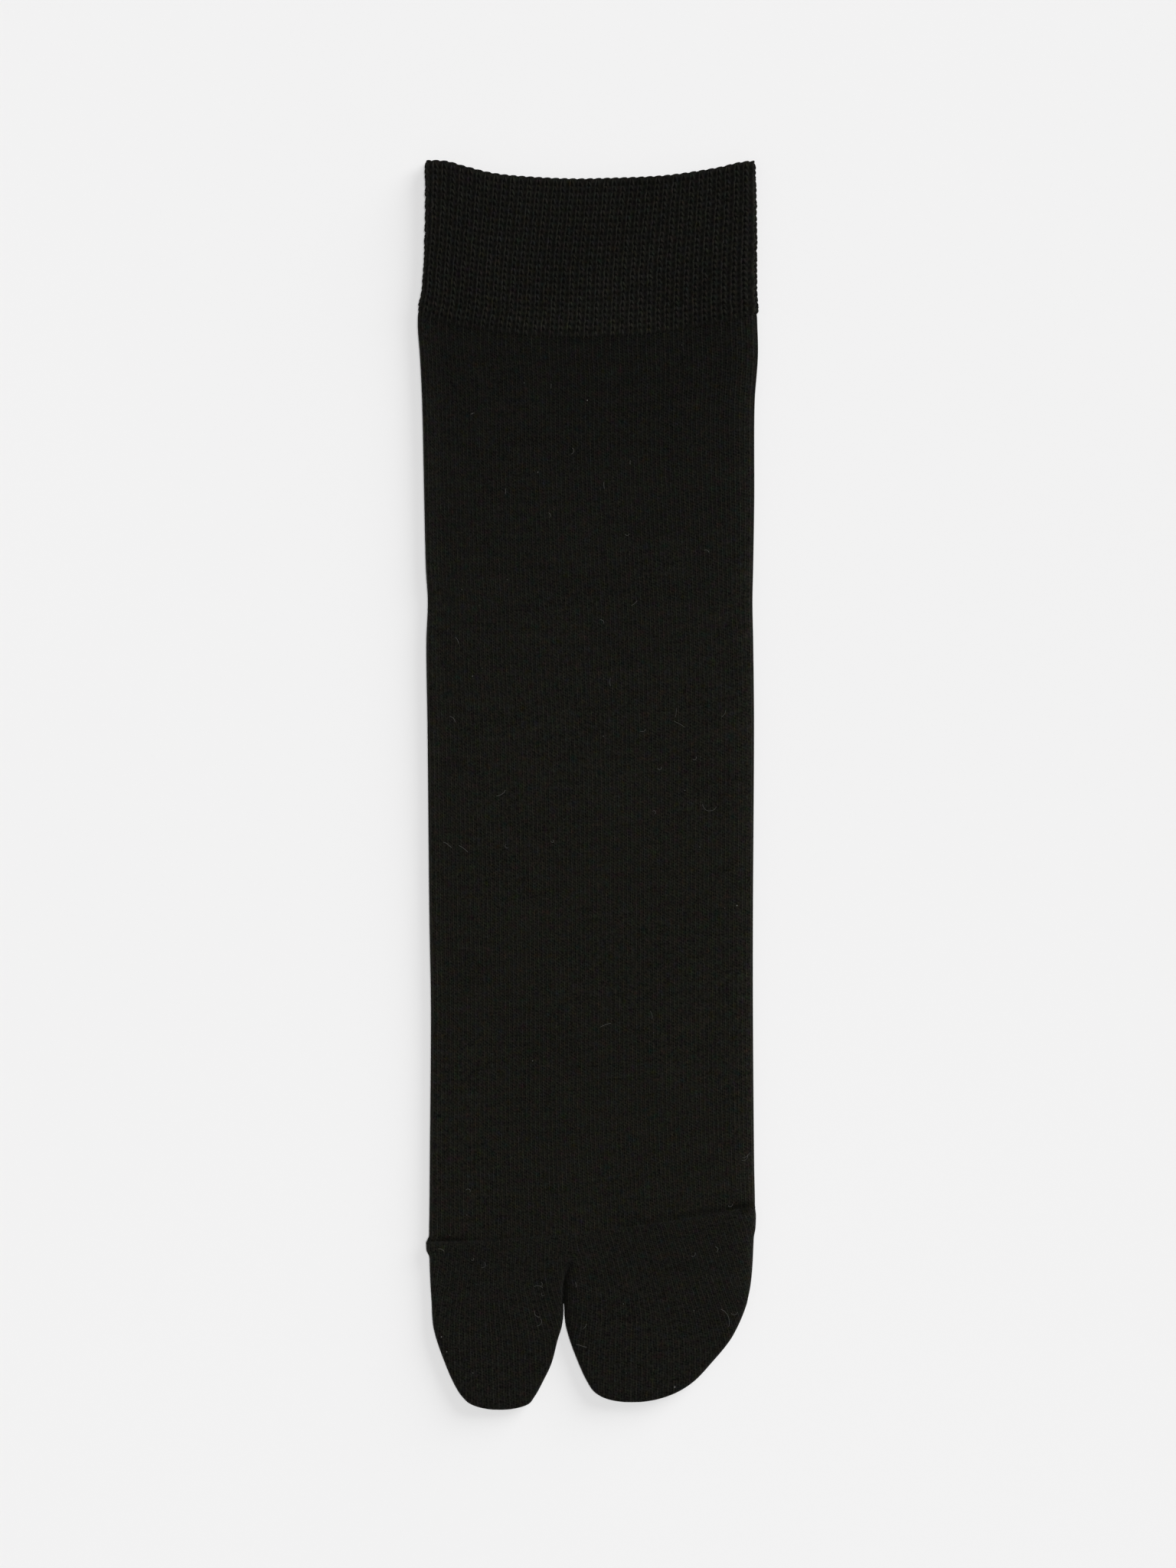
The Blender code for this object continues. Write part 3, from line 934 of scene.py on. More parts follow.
# %% Make a plain knit
def plain_knit(name, tones):
    """Plain knitting. Its tone fades from the first value to the last over a number of courses."""
    board = Board(name, COTTON)
    knit = board.layer(KNIT_LAYER)
    spot = board.spot()
    wander = board.noise(spot, WANDER_SCALE) - 0.5
    wale = knit.part(0) + wander * WALE_WANDER
    course = knit.part(1) + wander * COURSE_WANDER
    stitch = plain_stitch(wale, course)

    cell = board.pair((wale * 2.0).whole(), course.whole())
    each = board.add("ShaderNodeTexWhiteNoise", {"noise_dimensions": "2D"}, {"Vector": cell}) - 0.5
    stretch = board.noise(board.pair(wale.whole() * NEXT_WALE, course * STRETCH_ALONG), 1.0)
    stretch = (stretch * LINE_UNEVEN - LINE_GONE_BELOW).at_least(0.0)
    under_rib = (1.0 - course / tones.fade_over * RIB_RUNS_ON).at_least(0.0)
    second = (wale * 0.5).fraction().below(0.5)
    stands = 1.0 + (second * EVERY_SECOND - OTHERS_LESS) * under_rib
    line = stitch.line * stretch * stands * tones.line
    hole = stitch.hole * (each * HOLE_UNEVEN + 1.0) * tones.hole
    patch = board.noise(spot, PATCH_SCALE, 3.0) - 0.5
    fuzz = board.noise(spot, FUZZ_SCALE, 1.0) - 0.5
    row = board.noise(board.pair(wale * ROW_ALONG, course.whole() * NEXT_ROW), 1.0) - 0.5

    share = (course / tones.fade_over).share()
    tone = slow_tone(board, spot, tones, share)
    # Painted light and shade: the lines of legs are made paler, a painted highlight, and the holes
    # darker, a painted shade.
    uneven = 1.0 + line - hole + each * EACH_UNEVEN
    uneven = uneven + fuzz * tones.grain + patch * tones.patch + row * ROW_UNEVEN
    cotton = board.vector("MULTIPLY_ADD", share * tones.warm, WARMER, CUFF_COTTON)
    strength = tone * uneven.at_least(DARKEST_SPOT)
    board.drive("Base Color", dyed(board, spot, strength, tones.dye, cotton))
    board.drive("Roughness", ROUGHEST - line * LINE_SMOOTHER)

    height = line * BUMP_LINE - hole + each * BUMP_EACH
    stitches = board.bump(height, STITCH_DEPTH, PLAIN_BUMP)
    board.drive("Normal", board.bump(fuzz, FUZZ_DEPTH, PLAIN_BUMP, stitches))
    return board.material


leg_knit = plain_knit("leg_plain_knit", LEG_TONES)
toe_knit = plain_knit("toe_plain_knit", TOE_TONES)
print("the leg's material has", len(leg_knit.node_tree.nodes), "nodes")

# %% [markdown]
# ## The leg and foot
# This is the longest piece: one plain tube of 156 wales, 78 on the instep side and 78 on the sole
# side. It starts under the cuff's end and stops under the toe seam. Each wale is a real ridge,
# because ridges catch the light at the folds and in a low view. The sole lies on the floor, so it is
# smooth there, and needs few points. The cloth turns in at both ends and comes back as its own inner
# wall, so the piece is a closed shell. Each row has its share of the way down, a shift in
# millimetres, and a lift. A row whose lift is below "deep inside" belongs to the inner wall, and has
# no ridges.

# %% The wales of the leg
WALES = 78
POINTS_PER_WALE = 5
WALE_RISE = 0.12
FOLD_WALES = 2.4
FOLD_STEPS = 12
SOLE_STEPS = 22
LEG_COURSES = 296


def turns_round(ridges, points_per_ridge, fold_ridges):
    """The places round a tube: fine over the instep and both folds, coarse on the sole."""
    fold = fold_ridges / ridges
    turns = spread(0.0, 1.0, ridges * points_per_ridge)
    turns += spread(1.0, 1.0 + fold, FOLD_STEPS)
    turns += spread(1.0 + fold, 2.0 - fold, SOLE_STEPS)
    turns += spread(2.0 - fold, 2.0, FOLD_STEPS)
    return turns + [2.0]


def fading(turn, ridges, fold_ridges):
    """1 over the instep, and from there down to 0 at the ends of the sole."""
    if turn <= 1.0:
        return 1.0
    return max(1.0 - min(turn - 1.0, 2.0 - turn) * ridges / fold_ridges, 0.0)


def ridge(turn, ridges):
    """-1 in the furrow between two ridges, and 1 on top of one."""
    return -math.cos(2 * math.pi * ridges * turn)


leg_turns = turns_round(WALES, POINTS_PER_WALE, FOLD_WALES)
print(f"{len(leg_turns)} points go round the leg")

# %% Rings of the leg
LegRow = namedtuple("LegRow", "share shift lift")
DEEP_INSIDE = -1.0
INNER_WALL = -1.45
TUCK_UNDER_CUFF = (
    LegRow(0.0, -3.0, INNER_WALL),
    LegRow(0.0, -3.0, -0.9),
    LegRow(0.0, -1.2, -0.8),
    LegRow(0.0, -0.3, -0.45),
    LegRow(0.0, 0.1, -0.15),
    LegRow(0.0, 0.6, -0.03),
)
TUCK_UNDER_SEAM = (
    LegRow(1.0, 0.0, -0.04),
    LegRow(1.0, 0.25, -0.12),
    LegRow(1.0, 0.25, INNER_WALL),
)
LEG_EVEN_ROWS = 108
LEG_SEAM_ROWS = 32
LEG_INNER_ROWS = 8
NEAR_SEAM = 0.958


def leg_rows():
    """All rows of the leg: under the cuff, down to the seam, and back up inside."""
    rows = list(TUCK_UNDER_CUFF)
    rows += [LegRow(share, 0.0, 0.0) for share in spread(0.006, NEAR_SEAM, LEG_EVEN_ROWS)]
    rows += [LegRow(share, 0.0, 0.0) for share in spread(NEAR_SEAM, 1.0, LEG_SEAM_ROWS)]
    rows += TUCK_UNDER_SEAM
    rows += [LegRow(share, 0.0, INNER_WALL) for share in spread(0.99, 0.01, LEG_INNER_ROWS)]
    rows.append(TUCK_UNDER_CUFF[0])
    return rows


def leg_ring(row):
    """One ring of the leg, with its ridges, its soft folds and its places in the knitting."""

    def down_at(side):
        start = cuff_end_down(side)
        return start + (seam_down(side) - start) * row.share + row.shift

    left = left_fold(down_at(-1.0))
    right = right_fold(down_at(1.0))
    outside = row.lift > DEEP_INSIDE
    ring = []
    for turn in leg_turns:
        raised = 0.0
        if outside:
            raised = WALE_RISE / 2 * ridge(turn, WALES) * fading(turn, WALES, FOLD_WALES)
        point = section_point(turn, left, right, LEG_THICKNESS, row.lift + raised)
        side = side_of(point.across, left, right)
        down = down_at(side)
        across = point.across + wander(down, side)
        across += bunched(across, down)
        height = point.height
        if outside:
            height += point.upper * relief(across, down)
        course = row.share * LEG_COURSES + row.shift
        place = sock_point(across, down, max(height, 0.0))
        # Each point also carries the painted shade of the hollows, for the material's colour.
        ring.append(Dot(place, (turn * WALES, course), painted_hollow_shade(across, down)))
    return ring


leg_mesh = new_cloth()
lay_sheet(leg_mesh, [leg_ring(row) for row in leg_rows()])
leg_cloth = finish_cloth(leg_mesh, "leg_cloth", leg_knit)
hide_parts("leg_and_foot")

# %% [markdown]
# ## The split toe
# The toe is knitted wider than the foot, so its wales fan out from the seam and run straight over the
# tips, where the outline cuts them off. The mesh can't follow both the outline and the wales. So its
# rows and columns follow the outline, finely enough to hold ridges that cross them at a slant. Each
# fan is a table: how wide a wale is at each row, and how far the whole fan has moved to the right.
# Between the two fans one blends into the other, over a width that shrinks to nothing at the crease.

# %% How the wales fan out over the toes
FanRow = namedtuple("FanRow", "down width shift")
BIG_TOE_FAN = (
    FanRow(284.0, 1.10, 0.0),
    FanRow(288.0, 1.10, -0.25),
    FanRow(293.0, 1.12, -0.65),
    FanRow(298.0, 1.18, -0.9),
    FanRow(304.0, 1.30, -1.0),
    FanRow(310.0, 1.40, -0.85),
    FanRow(316.0, 1.42, -0.6),
    FanRow(330.0, 1.42, -0.2),
)
FOUR_TOES_FAN = (
    FanRow(276.0, 1.14, -1.4),
    FanRow(281.0, 1.155, 0.0),
    FanRow(285.0, 1.16, 1.1),
    FanRow(289.0, 1.17, 2.15),
    FanRow(293.0, 1.18, 3.1),
    FanRow(297.0, 1.20, 3.85),
    FanRow(301.0, 1.24, 4.35),
    FanRow(305.0, 1.29, 4.6),
    FanRow(311.0, 1.37, 4.5),
    FanRow(317.0, 1.41, 4.3),
    FanRow(330.0, 1.41, 4.2),
)
BIG_TOE_MIDDLE = -28.0
FOUR_TOES_MIDDLE = 3.5
PARTING = Vector((-3.8, 283.4))
PARTING_HEIGHT = 8.0
TOE_COURSE = 0.68
TOE_WALE_RISE = 0.08


def fan(rows, middle):
    """A function that gives the wale at a place, where wales spread from the middle."""
    width_at = line_through(rows, "down", "width")
    fan_shift_at = line_through(rows, "down", "shift")

    def wale_at(across, down):
        return (across - middle - fan_shift_at(down)) / width_at(down)

    return wale_at


big_toe_wale = fan(BIG_TOE_FAN, BIG_TOE_MIDDLE)
four_toes_wale = fan(FOUR_TOES_FAN, FOUR_TOES_MIDDLE)
wales_between = four_toes_wale(*PARTING) - big_toe_wale(*PARTING)


def toe_stitch(across, down):
    """The wale and the course at a place on the toe."""
    border = crease_across(down) if down < CREASE[-1].down else SPLIT_ACROSS
    blend = max(PARTING_HEIGHT + PARTING.y - down, 0.05)
    share = clamped(0.5 + (across - border) / (2.0 * blend))
    share = share * share * (3.0 - 2.0 * share)
    left_wale = big_toe_wale(across, down) + wales_between
    wale = left_wale + (four_toes_wale(across, down) - left_wale) * share
    return wale, (down - seam_at(across)) / TOE_COURSE


def toe_dot(point, down, outside):
    """A point of the toe, raised on its upper side by the soft folds and by the wale that it is on."""
    wale, course = toe_stitch(point.across, down)
    across = point.across + bunched(point.across, down)
    height = point.height
    if outside:
        raised = TOE_WALE_RISE * (-0.5 * math.cos(2 * math.pi * wale))
        height += point.upper * (relief(point.across, down) + raised)
    # Each point also carries the painted shade of the hollows, for the material's colour.
    return Dot(sock_point(across, down, height), (wale, course), painted_hollow_shade(point.across, down))


print("wales at the big toe's left edge:", round(toe_stitch(-41.0, 300.0)[0], 1))

# %% [markdown]
# ## The toe's rings
# The toe is laid as three sheets: the part above the split, and one tube for each pocket, closed at
# its tip. A ring above the split is made in runs, so that it can be shared out: the left runs go on
# as the big toe's pocket and the right ones as the other. The web between the toes closes both. The
# points stand closest together beside the crease, where the cloth bends most.

# %% Rings of the toe above the split
FOLD_STEPS_OF_TOE = 7
Runs = namedtuple("Runs", "over under")
BIG_RUNS = Runs(spread(0.0, 0.95, 72) + spread(0.95, 1.0, 14), spread(0.0, 1.0, 16))
FOUR_RUNS = Runs(spread(0.0, 0.10, 34) + spread(0.10, 1.0, 96), spread(0.0, 1.0, 22))


def quarter_fold(centre, radius, start_angle):
    """A quarter of a side fold, clockwise from its start, without its end."""
    points = []
    for share in spread(0.0, 1.0, FOLD_STEPS_OF_TOE):
        angle = math.radians(start_angle - 90.0 * share)
        across = centre + radius * math.cos(angle)
        height = LEG_THICKNESS / 2 + radius * math.sin(angle)
        points.append(SectionPoint(across, height, max(math.sin(angle), 0.0)))
    return points


def level_run(start, end, radius, facing, shares):
    """A level run of the section, without its end."""
    height = LEG_THICKNESS / 2 + facing * radius
    return [SectionPoint(start + (end - start) * share, height, max(facing, 0.0)) for share in shares]


def closed_section(left, right, radius, over, under):
    """A section from its folds' centres and the runs between them, ending where it starts."""
    points = quarter_fold(left, radius, 180.0) + over
    points += quarter_fold(right, radius, 90.0) + quarter_fold(right, radius, 0.0)
    points += under + quarter_fold(left, radius, 270.0)
    return points + points[:1]


def whole_toe_ring(down_at, lift):
    """A ring of the toe above the split, in runs that the two pockets will share out."""
    left = left_fold(down_at(-1.0))
    right = right_fold(down_at(1.0))
    half = LEG_THICKNESS / 2
    start = left + half
    end = right - half
    radius = half + lift
    over = level_run(start, SPLIT_ACROSS, radius, 1.0, BIG_RUNS.over)
    over += level_run(SPLIT_ACROSS, end, radius, 1.0, FOUR_RUNS.over)
    under = level_run(end, SPLIT_ACROSS, radius, -1.0, FOUR_RUNS.under)
    under += level_run(SPLIT_ACROSS, start, radius, -1.0, BIG_RUNS.under)
    points = closed_section(start, end, radius, over, under)
    ring = []
    for point in points:
        down = down_at(side_of(point.across, left, right))
        ring.append(toe_dot(point, down, lift > DEEP_INSIDE))
    return ring


print(f"{len(whole_toe_ring(seam_down, 0.0))} points go round the toe")

# %% Rings of the toe pockets
def pocket_outline(rows):
    """The pocket's edges as smooth lines of "reach", the root of the distance to the tip."""
    tip = rows[-1]
    left = smooth_line([(math.sqrt(tip.down - row.down), row.left) for row in rows])
    right = smooth_line([(math.sqrt(tip.down - row.down), row.right) for row in rows])
    return tip.down, left, right


def inset_edge(tip_down, edge, reach, inset, inward):
    """A point of a pocket's edge, moved into the cloth along the edge's own normal."""
    step = 0.02
    near = max(reach - step, 0.0)
    far = reach + step
    run = Vector((edge(far) - edge(near), near * near - far * far))
    run.normalize()
    across = edge(reach) - run.y * inward * inset
    down = tip_down - reach * reach + run.x * inward * inset
    return across, down


def pocket_ring(rows, reach, lift, runs):
    """A ring of a pocket, from its left edge over the instep side and back, thinner near the tip."""
    tip_down, left_edge, right_edge = pocket_outline(rows)
    left, left_down = inset_edge(tip_down, left_edge, reach, -lift, 1.0)
    right, right_down = inset_edge(tip_down, right_edge, reach, -lift, -1.0)
    full = LEG_THICKNESS / 2 + lift
    from_tip = min(reach * reach / full, 1.0)
    radius = full * math.sqrt(1.0 - (1.0 - from_tip) ** 2)
    start = left + radius
    end = right - radius
    over = level_run(start, end, radius, 1.0, runs.over)
    under = level_run(end, start, radius, -1.0, runs.under)
    points = closed_section(start, end, radius, over, under)
    ring = []
    for point in points:
        share = (point.across - left) / (right - left)
        down = left_down + (right_down - left_down) * share
        ring.append(toe_dot(point, down, lift > DEEP_INSIDE))
    return ring


WEB_HOLLOW = 0.3


def web_points(lift):
    """The web between the toes, from the upper side round to the underside, with both its ends."""
    radius = LEG_THICKNESS / 2 + lift
    points = []
    for step in range(2 * FOLD_STEPS_OF_TOE + 1):
        angle = math.pi * step / (2 * FOLD_STEPS_OF_TOE)
        down = SPLIT_DOWN + lift + WEB_HOLLOW * (1.0 - math.sin(angle))
        height = LEG_THICKNESS / 2 + radius * math.cos(angle)
        point = SectionPoint(SPLIT_ACROSS, height, max(math.cos(angle), 0.0))
        points.append(toe_dot(point, down, lift > DEEP_INSIDE))
    return points


print("the big toe's tip is", pocket_outline(BIG_TOE)[0], "mm down")

# %% Lay the toe's three sheets
TOE_WALL = 1.5
TOE_ROWS = 60
TIP_ROWS = 64
TOE_INNER_ROWS = 6
TIP_INNER_ROWS = 12
TIP_REACH = 0.3
FIRST_STEP = 0.5


def lay_toe(mesh, lift, whole_rows, pocket_rows):
    """Lay one skin of the toe, and return its first ring, at the seam."""
    split = SPLIT_DOWN + lift + WEB_HOLLOW
    rings = []
    for share in spread(0.0, 1.0, whole_rows) + [1.0]:

        def down_at(side):
            return seam_down(side) + (split - seam_down(side)) * share

        rings.append(whole_toe_ring(down_at, lift))
    lay_sheet(mesh, rings)

    root = rings[-1]
    fold = FOLD_STEPS_OF_TOE
    web = web_points(lift)
    over_split = fold + len(BIG_RUNS.over)
    under_split = len(root) - 1 - fold - len(BIG_RUNS.under)
    big_root = root[:over_split] + web[:-1] + root[under_split:]
    four_root = web[::-1][fold:-1] + root[over_split:under_split] + web[::-1][: fold + 1]
    for edges, first, runs in ((BIG_TOE, big_root, BIG_RUNS), (FOUR_TOES, four_root, FOUR_RUNS)):
        tip = edges[-1]
        longest = math.sqrt(tip.down - split - FIRST_STEP)
        reaches = spread(longest, TIP_REACH, pocket_rows) + [TIP_REACH]
        pocket = [first] + [pocket_ring(edges, reach, lift, runs) for reach in reaches]
        point = toe_dot(SectionPoint(tip.left, LEG_THICKNESS / 2, 0.0), tip.down + lift, False)
        pocket.append([point] * len(first))
        lay_sheet(mesh, pocket)
    return rings[0]


toe_mesh = new_cloth()
outer_end = lay_toe(toe_mesh, 0.0, TOE_ROWS, TIP_ROWS)
inner_end = lay_toe(toe_mesh, -TOE_WALL, TOE_INNER_ROWS, TIP_INNER_ROWS)
lay_sheet(toe_mesh, [outer_end, inner_end])
toe_cloth = finish_cloth(toe_mesh, "toe_cloth", toe_knit)
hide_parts("toe")

# %% [markdown]
# ## The ribbed cuff
# One wale of the cuff in two is knitted the other way and sinks back, so the others stand up as ribs.
# That makes the cuff thick and springy. Its cloth is laid first, as a ridge for each rib. It runs
# from the cuff's end up to the rim, rolls over the rim and goes down again inside, so that the mouth
# has a real thickness where you look into it. The cuff is drawn in a little from the side folds, and
# in its last millimetres it settles down to the leg.

# %% The cloth of the cuff
RIB_COUNT = 39
POINTS_PER_RIB = 8
FOLD_RIBS = 1.4
RIB_SINK = 0.30
LEFT_INSET = 0.68
RIGHT_INSET = 0.25
CUFF_COURSES = 26
CUFF_ROWS = 56
SETTLES_FROM = 0.93
END_STEP = CUFF_THICKNESS - LEG_THICKNESS - 0.1
FULL_WIDTH_AT = 1.03
DRAWS_IN_OVER = 6.0
RIDGES_BEGIN = -0.3
CUFF_INNER_WALL = -1.65
CUFF_INNER_ROWS = 6
CuffRow = namedtuple("CuffRow", "share shift lift")
CUFF_END_ROLL = (
    CuffRow(1.0, -0.5, CUFF_INNER_WALL),
    CuffRow(1.0, -0.1, -1.2),
    CuffRow(1.0, 0.0, -0.8),
    CuffRow(1.0, -0.02, -0.35),
    CuffRow(1.0, -0.15, -0.12),
    CuffRow(1.0, -0.5, -0.03),
)
RIM_ROLL = (
    CuffRow(0.0, 0.75, -0.06),
    CuffRow(0.0, 0.35, -0.28),
    CuffRow(0.0, 0.12, -0.6),
    CuffRow(0.0, 0.05, -0.95),
    CuffRow(0.0, 0.25, -1.35),
    CuffRow(0.0, 0.8, CUFF_INNER_WALL),
)


def cuff_rows():
    """All rows of the cuff: up its outside, over the rim and down inside."""
    rows = list(CUFF_END_ROLL)
    rows += [CuffRow(share, 0.0, 0.0) for share in spread(0.975, 0.03, CUFF_ROWS)]
    rows += RIM_ROLL
    rows += [CuffRow(share, 0.0, CUFF_INNER_WALL) for share in spread(0.1, 0.9, CUFF_INNER_ROWS)]
    rows.append(CUFF_END_ROLL[0])
    return rows


def cuff_place(turn, share, shift, lift):
    """A point of the cuff, by its turn, its share of the way down, and how far it stands out."""

    def down_at(side):
        return rim_down(side) + (cuff_end_down(side) - rim_down(side)) * share + shift

    full = min((FULL_WIDTH_AT - share) * DRAWS_IN_OVER, 1.0)
    left = left_fold(down_at(-1.0)) + LEFT_INSET * full
    right = right_fold(down_at(1.0)) - RIGHT_INSET * full
    point = section_point(turn, left, right, CUFF_THICKNESS, lift)
    side = side_of(point.across, left, right)
    down = down_at(side)
    height = point.height
    if lift > DEEP_INSIDE:
        settled = clamped((share - SETTLES_FROM) / (1.0 - SETTLES_FROM)) ** 2
        height += point.upper * (waves(point.across, down) - END_STEP * settled)
    return sock_point(point.across + wander(down, side), down, max(height, 0.0))


cuff_turns = turns_round(RIB_COUNT, POINTS_PER_RIB, FOLD_RIBS)
cuff_rings = []
for row in cuff_rows():
    ring = []
    for turn in cuff_turns:
        raised = 0.0
        if row.lift > RIDGES_BEGIN:
            raised = (RIB_RISE - RIB_SINK) / 2 * (1.0 + ridge(turn, RIB_COUNT))
            raised *= fading(turn, RIB_COUNT, FOLD_RIBS)
        course = row.share * CUFF_COURSES + row.shift
        place = cuff_place(turn, row.share, row.shift, row.lift + raised)
        ring.append(Dot(place, (turn * RIB_COUNT, course)))
    cuff_rings.append(ring)
cuff_mesh = new_cloth()
lay_sheet(cuff_mesh, cuff_rings)
print(f"{len(cuff_rings)} rings of {len(cuff_turns)} points make the cuff")

# %% [markdown]
# ## Where the rib is stretched
# A cuff is pulled wide over the leg again and again. In its lower middle the rib stays a little
# stretched, and there the cloth lies more open and is paler. This is a place on the sock and not in
# the knitting, so it is worked out from Object coordinates, in metres: across, and along towards the
# rim.

# %% How far the cuff is stretched
STRETCH_BELOW = 0.142
STRETCH_OVER = 0.018
STRETCH_MIDDLE = 0.004
STRETCH_REACH = 0.036
STRETCH_BRIGHTER = 0.22


def stretched(spot):
    """How far the cuff's lower middle is stretched: 0 above and at the sides, about 1 at its end."""
    low = ((STRETCH_BELOW - spot.part(1)) / STRETCH_OVER).at_least(0.0)
    middle = (1.0 - abs(spot.part(0) - STRETCH_MIDDLE) / STRETCH_REACH).at_least(0.0)
    return low**2.0 * middle


stretch_down = SOCK_LENGTH / 2 - STRETCH_BELOW / MM
print(f"the stretched part begins {stretch_down:.0f} mm below the rim's corners")

# %% [markdown]
# ## The ground between the ribs
# Between the stitches shows what lies further back: a dark hole in each stitch, and a row of smaller
# ones between the ribs, where the backs of the stitches pull together. The rest is yarn like any
# other, but darker than the ribs, a painted shade where it lies back. Real holes would need far more
# faces than anyone sees, so they are places of painted shade in the colour, with a bump that dips
# there.

# %% Rows of holes
Hole = namedtuple("Hole", "middle width phase height strength")
IN_STITCH = Hole(0.49, 0.20, 0.45, 0.42, 1.8)
BETWEEN_RIBS = Hole(0.5, 0.16, 0.3, 0.36, 0.9)
LAST_HOLES = CUFF_COURSES + 0.2


def hole_row(hole, place, course):
    """One row of holes, by the place across a rib, with one hole in each course."""
    across = swell(place, hole.middle, hole.width) * hole.strength
    return across * swell((course + hole.phase).fraction(), 0.5, hole.height)


def rib_holes(rib, course):
    """How deep the holes are, from 0 to 1: those in the stitches and those between the ribs."""
    in_stitch = hole_row(IN_STITCH, rib, course)
    between = hole_row(BETWEEN_RIBS, (rib + 0.5).fraction(), course)
    before_end = (LAST_HOLES - course).share()
    return in_stitch.math("MAXIMUM", between).at_most(1.0) * before_end


print("the last row of holes ends at course", LAST_HOLES)

# %% [markdown]
# ## How one bit of the cuff's yarn differs from the next
# The ground and the stitches are the same yarn, so they share one recipe of three noises: slow
# patches, something about the size of a stitch, and the fuzz of the fibres. A "Mix" says how much of
# each there is, how much is taken off again so that the middle stays in place, and the scale of the
# second noise.

# %% Mix the yarn's unevenness
Mix = namedtuple("Mix", "patch each fuzz less each_scale")
GROUND_MIX = Mix(0.4, 1.6, 1.2, 0.6, 900.0)
YARN_MIX = Mix(0.5, 2.4, 1.2, 1.05, 700.0)
CUFF_PATCH_SCALE = 60.0
CUFF_FUZZ_SCALE = 4200.0
YarnNoise = namedtuple("YarnNoise", "uneven each fuzz")


def yarn_noise(board, spot, mix):
    """The whole unevenness, and the two quicker noises in it, which roughness and bump use again."""
    patch = board.noise(spot, CUFF_PATCH_SCALE)
    each = board.noise(spot, mix.each_scale, 1.0)
    fuzz = board.noise(spot, CUFF_FUZZ_SCALE)
    uneven = patch * mix.patch + each * mix.each + fuzz * mix.fuzz - mix.less
    return YarnNoise(uneven, each, fuzz)


print(f"a fibre of the cuff's yarn is about {1000 / CUFF_FUZZ_SCALE:.2f} mm")

# %% Make the ground's material, and finish the cloth
HOLE_UNEVEN_BY, HOLE_MISSING_BELOW, HOLE_AT_LEAST = 2.6, 0.35, 0.25
HOLE_PAINTED_SHADE = 0.77
GROUND_DARKEST = 0.08
GROUND_PAINTED_SHADE = 0.68
GROUND_ROUGH = 0.9
FUZZ_ROUGHER = 0.1
FUZZ_STANDS = 0.3
GROUND_DEPTH = 0.0002
GROUND_BUMP = 0.8


def rib_ground():
    """The receding parts of the rib, with painted shade in their holes and over the whole ground."""
    board = Board("rib_ground", COTTON)
    knit = board.layer(KNIT_LAYER)
    spot = board.spot()
    yarn = yarn_noise(board, spot, GROUND_MIX)
    hole = rib_holes(knit.part(0).fraction(), knit.part(1))
    open_by = yarn.each * HOLE_UNEVEN_BY - HOLE_MISSING_BELOW
    hole = hole * open_by.at_least(HOLE_AT_LEAST).at_most(1.0)
    # Painted shade: the holes are darkened in the colour, and the whole ground is darker than the
    # ribs' yarn.
    strength = (yarn.uneven * (1.0 - hole * HOLE_PAINTED_SHADE)).at_least(GROUND_DARKEST)
    strength = strength * GROUND_PAINTED_SHADE * (1.0 + stretched(spot) * STRETCH_BRIGHTER)
    board.drive("Base Color", dyed(board, spot, strength, CUFF_DYE))
    board.drive("Roughness", GROUND_ROUGH + yarn.fuzz * FUZZ_ROUGHER)
    height = 1.0 - hole + yarn.fuzz * FUZZ_STANDS
    board.drive("Normal", board.bump(height, GROUND_DEPTH, GROUND_BUMP))
    return board.material


cuff_cloth = finish_cloth(cuff_mesh, "cuff_cloth", rib_ground())
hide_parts("cuff")

# %% [markdown]
# ## The cuff's stitches
# At the cuff the stitches are twice as big as on the leg, so each one that shows is a real shape. A
# stitch shows two legs of yarn that meet at the top. The left leg is steep, and the right one slants
# more and lies deeper. One leg is a ball of few faces, stretched, slanted and dipped at its ends. Two
# Array modifiers knit it into a flat piece of fabric, and then each point of that fabric is wrapped
# round the cuff. Copying one object a thousand times would be much slower.

# %% One stitch of the rib
RIB_WIDTH = side_path(left_fold(20.0), right_fold(20.0), CUFF_THICKNESS) / RIB_COUNT
COURSE_HEIGHT = (cuff_end_down(0.0) - rim_down(0.0)) / CUFF_COURSES
YARN_RADIUS = 0.27
BALL_SIDES = 6
YarnLeg = namedtuple("YarnLeg", "across slant length rise dip")
STITCH_LEGS = (
    YarnLeg(-0.50, 8.0, 1.04, 0.05, 0.16),
    YarnLeg(0.38, -22.0, 1.02, -0.02, 0.26),
)


def make_yarn_leg(mesh, leg, thickness):
    """One leg of a stitch in flat fabric, in millimetres, with its upper end towards +Y."""
    ball = bmesh.ops.create_uvsphere(mesh, u_segments=BALL_SIDES, v_segments=BALL_SIDES, radius=1.0)
    slant = math.radians(leg.slant)
    for vert in ball["verts"]:
        along = vert.co.z * leg.length
        beside = vert.co.x * thickness
        dip = leg.dip * vert.co.z**2
        vert.co = (
            leg.across + along * math.sin(slant) + beside * math.cos(slant),
            along * math.cos(slant) - beside * math.sin(slant),
            vert.co.y * thickness + leg.rise - dip,
        )


def flat_stitch(legs, thickness):
    """One stitch as a mesh object."""
    mesh = new_cloth()
    for leg in legs:
        make_yarn_leg(mesh, leg, thickness)
    return add_object("stitch", as_data(mesh, "stitch"))


def add_array(piece, count, offset):
    """Repeat a piece with an even step, without copying its mesh."""
    array = piece.modifiers.new("repeat", "ARRAY")
    array.use_relative_offset = False
    array.use_constant_offset = True
    array.constant_offset_displace = offset
    array.count = count


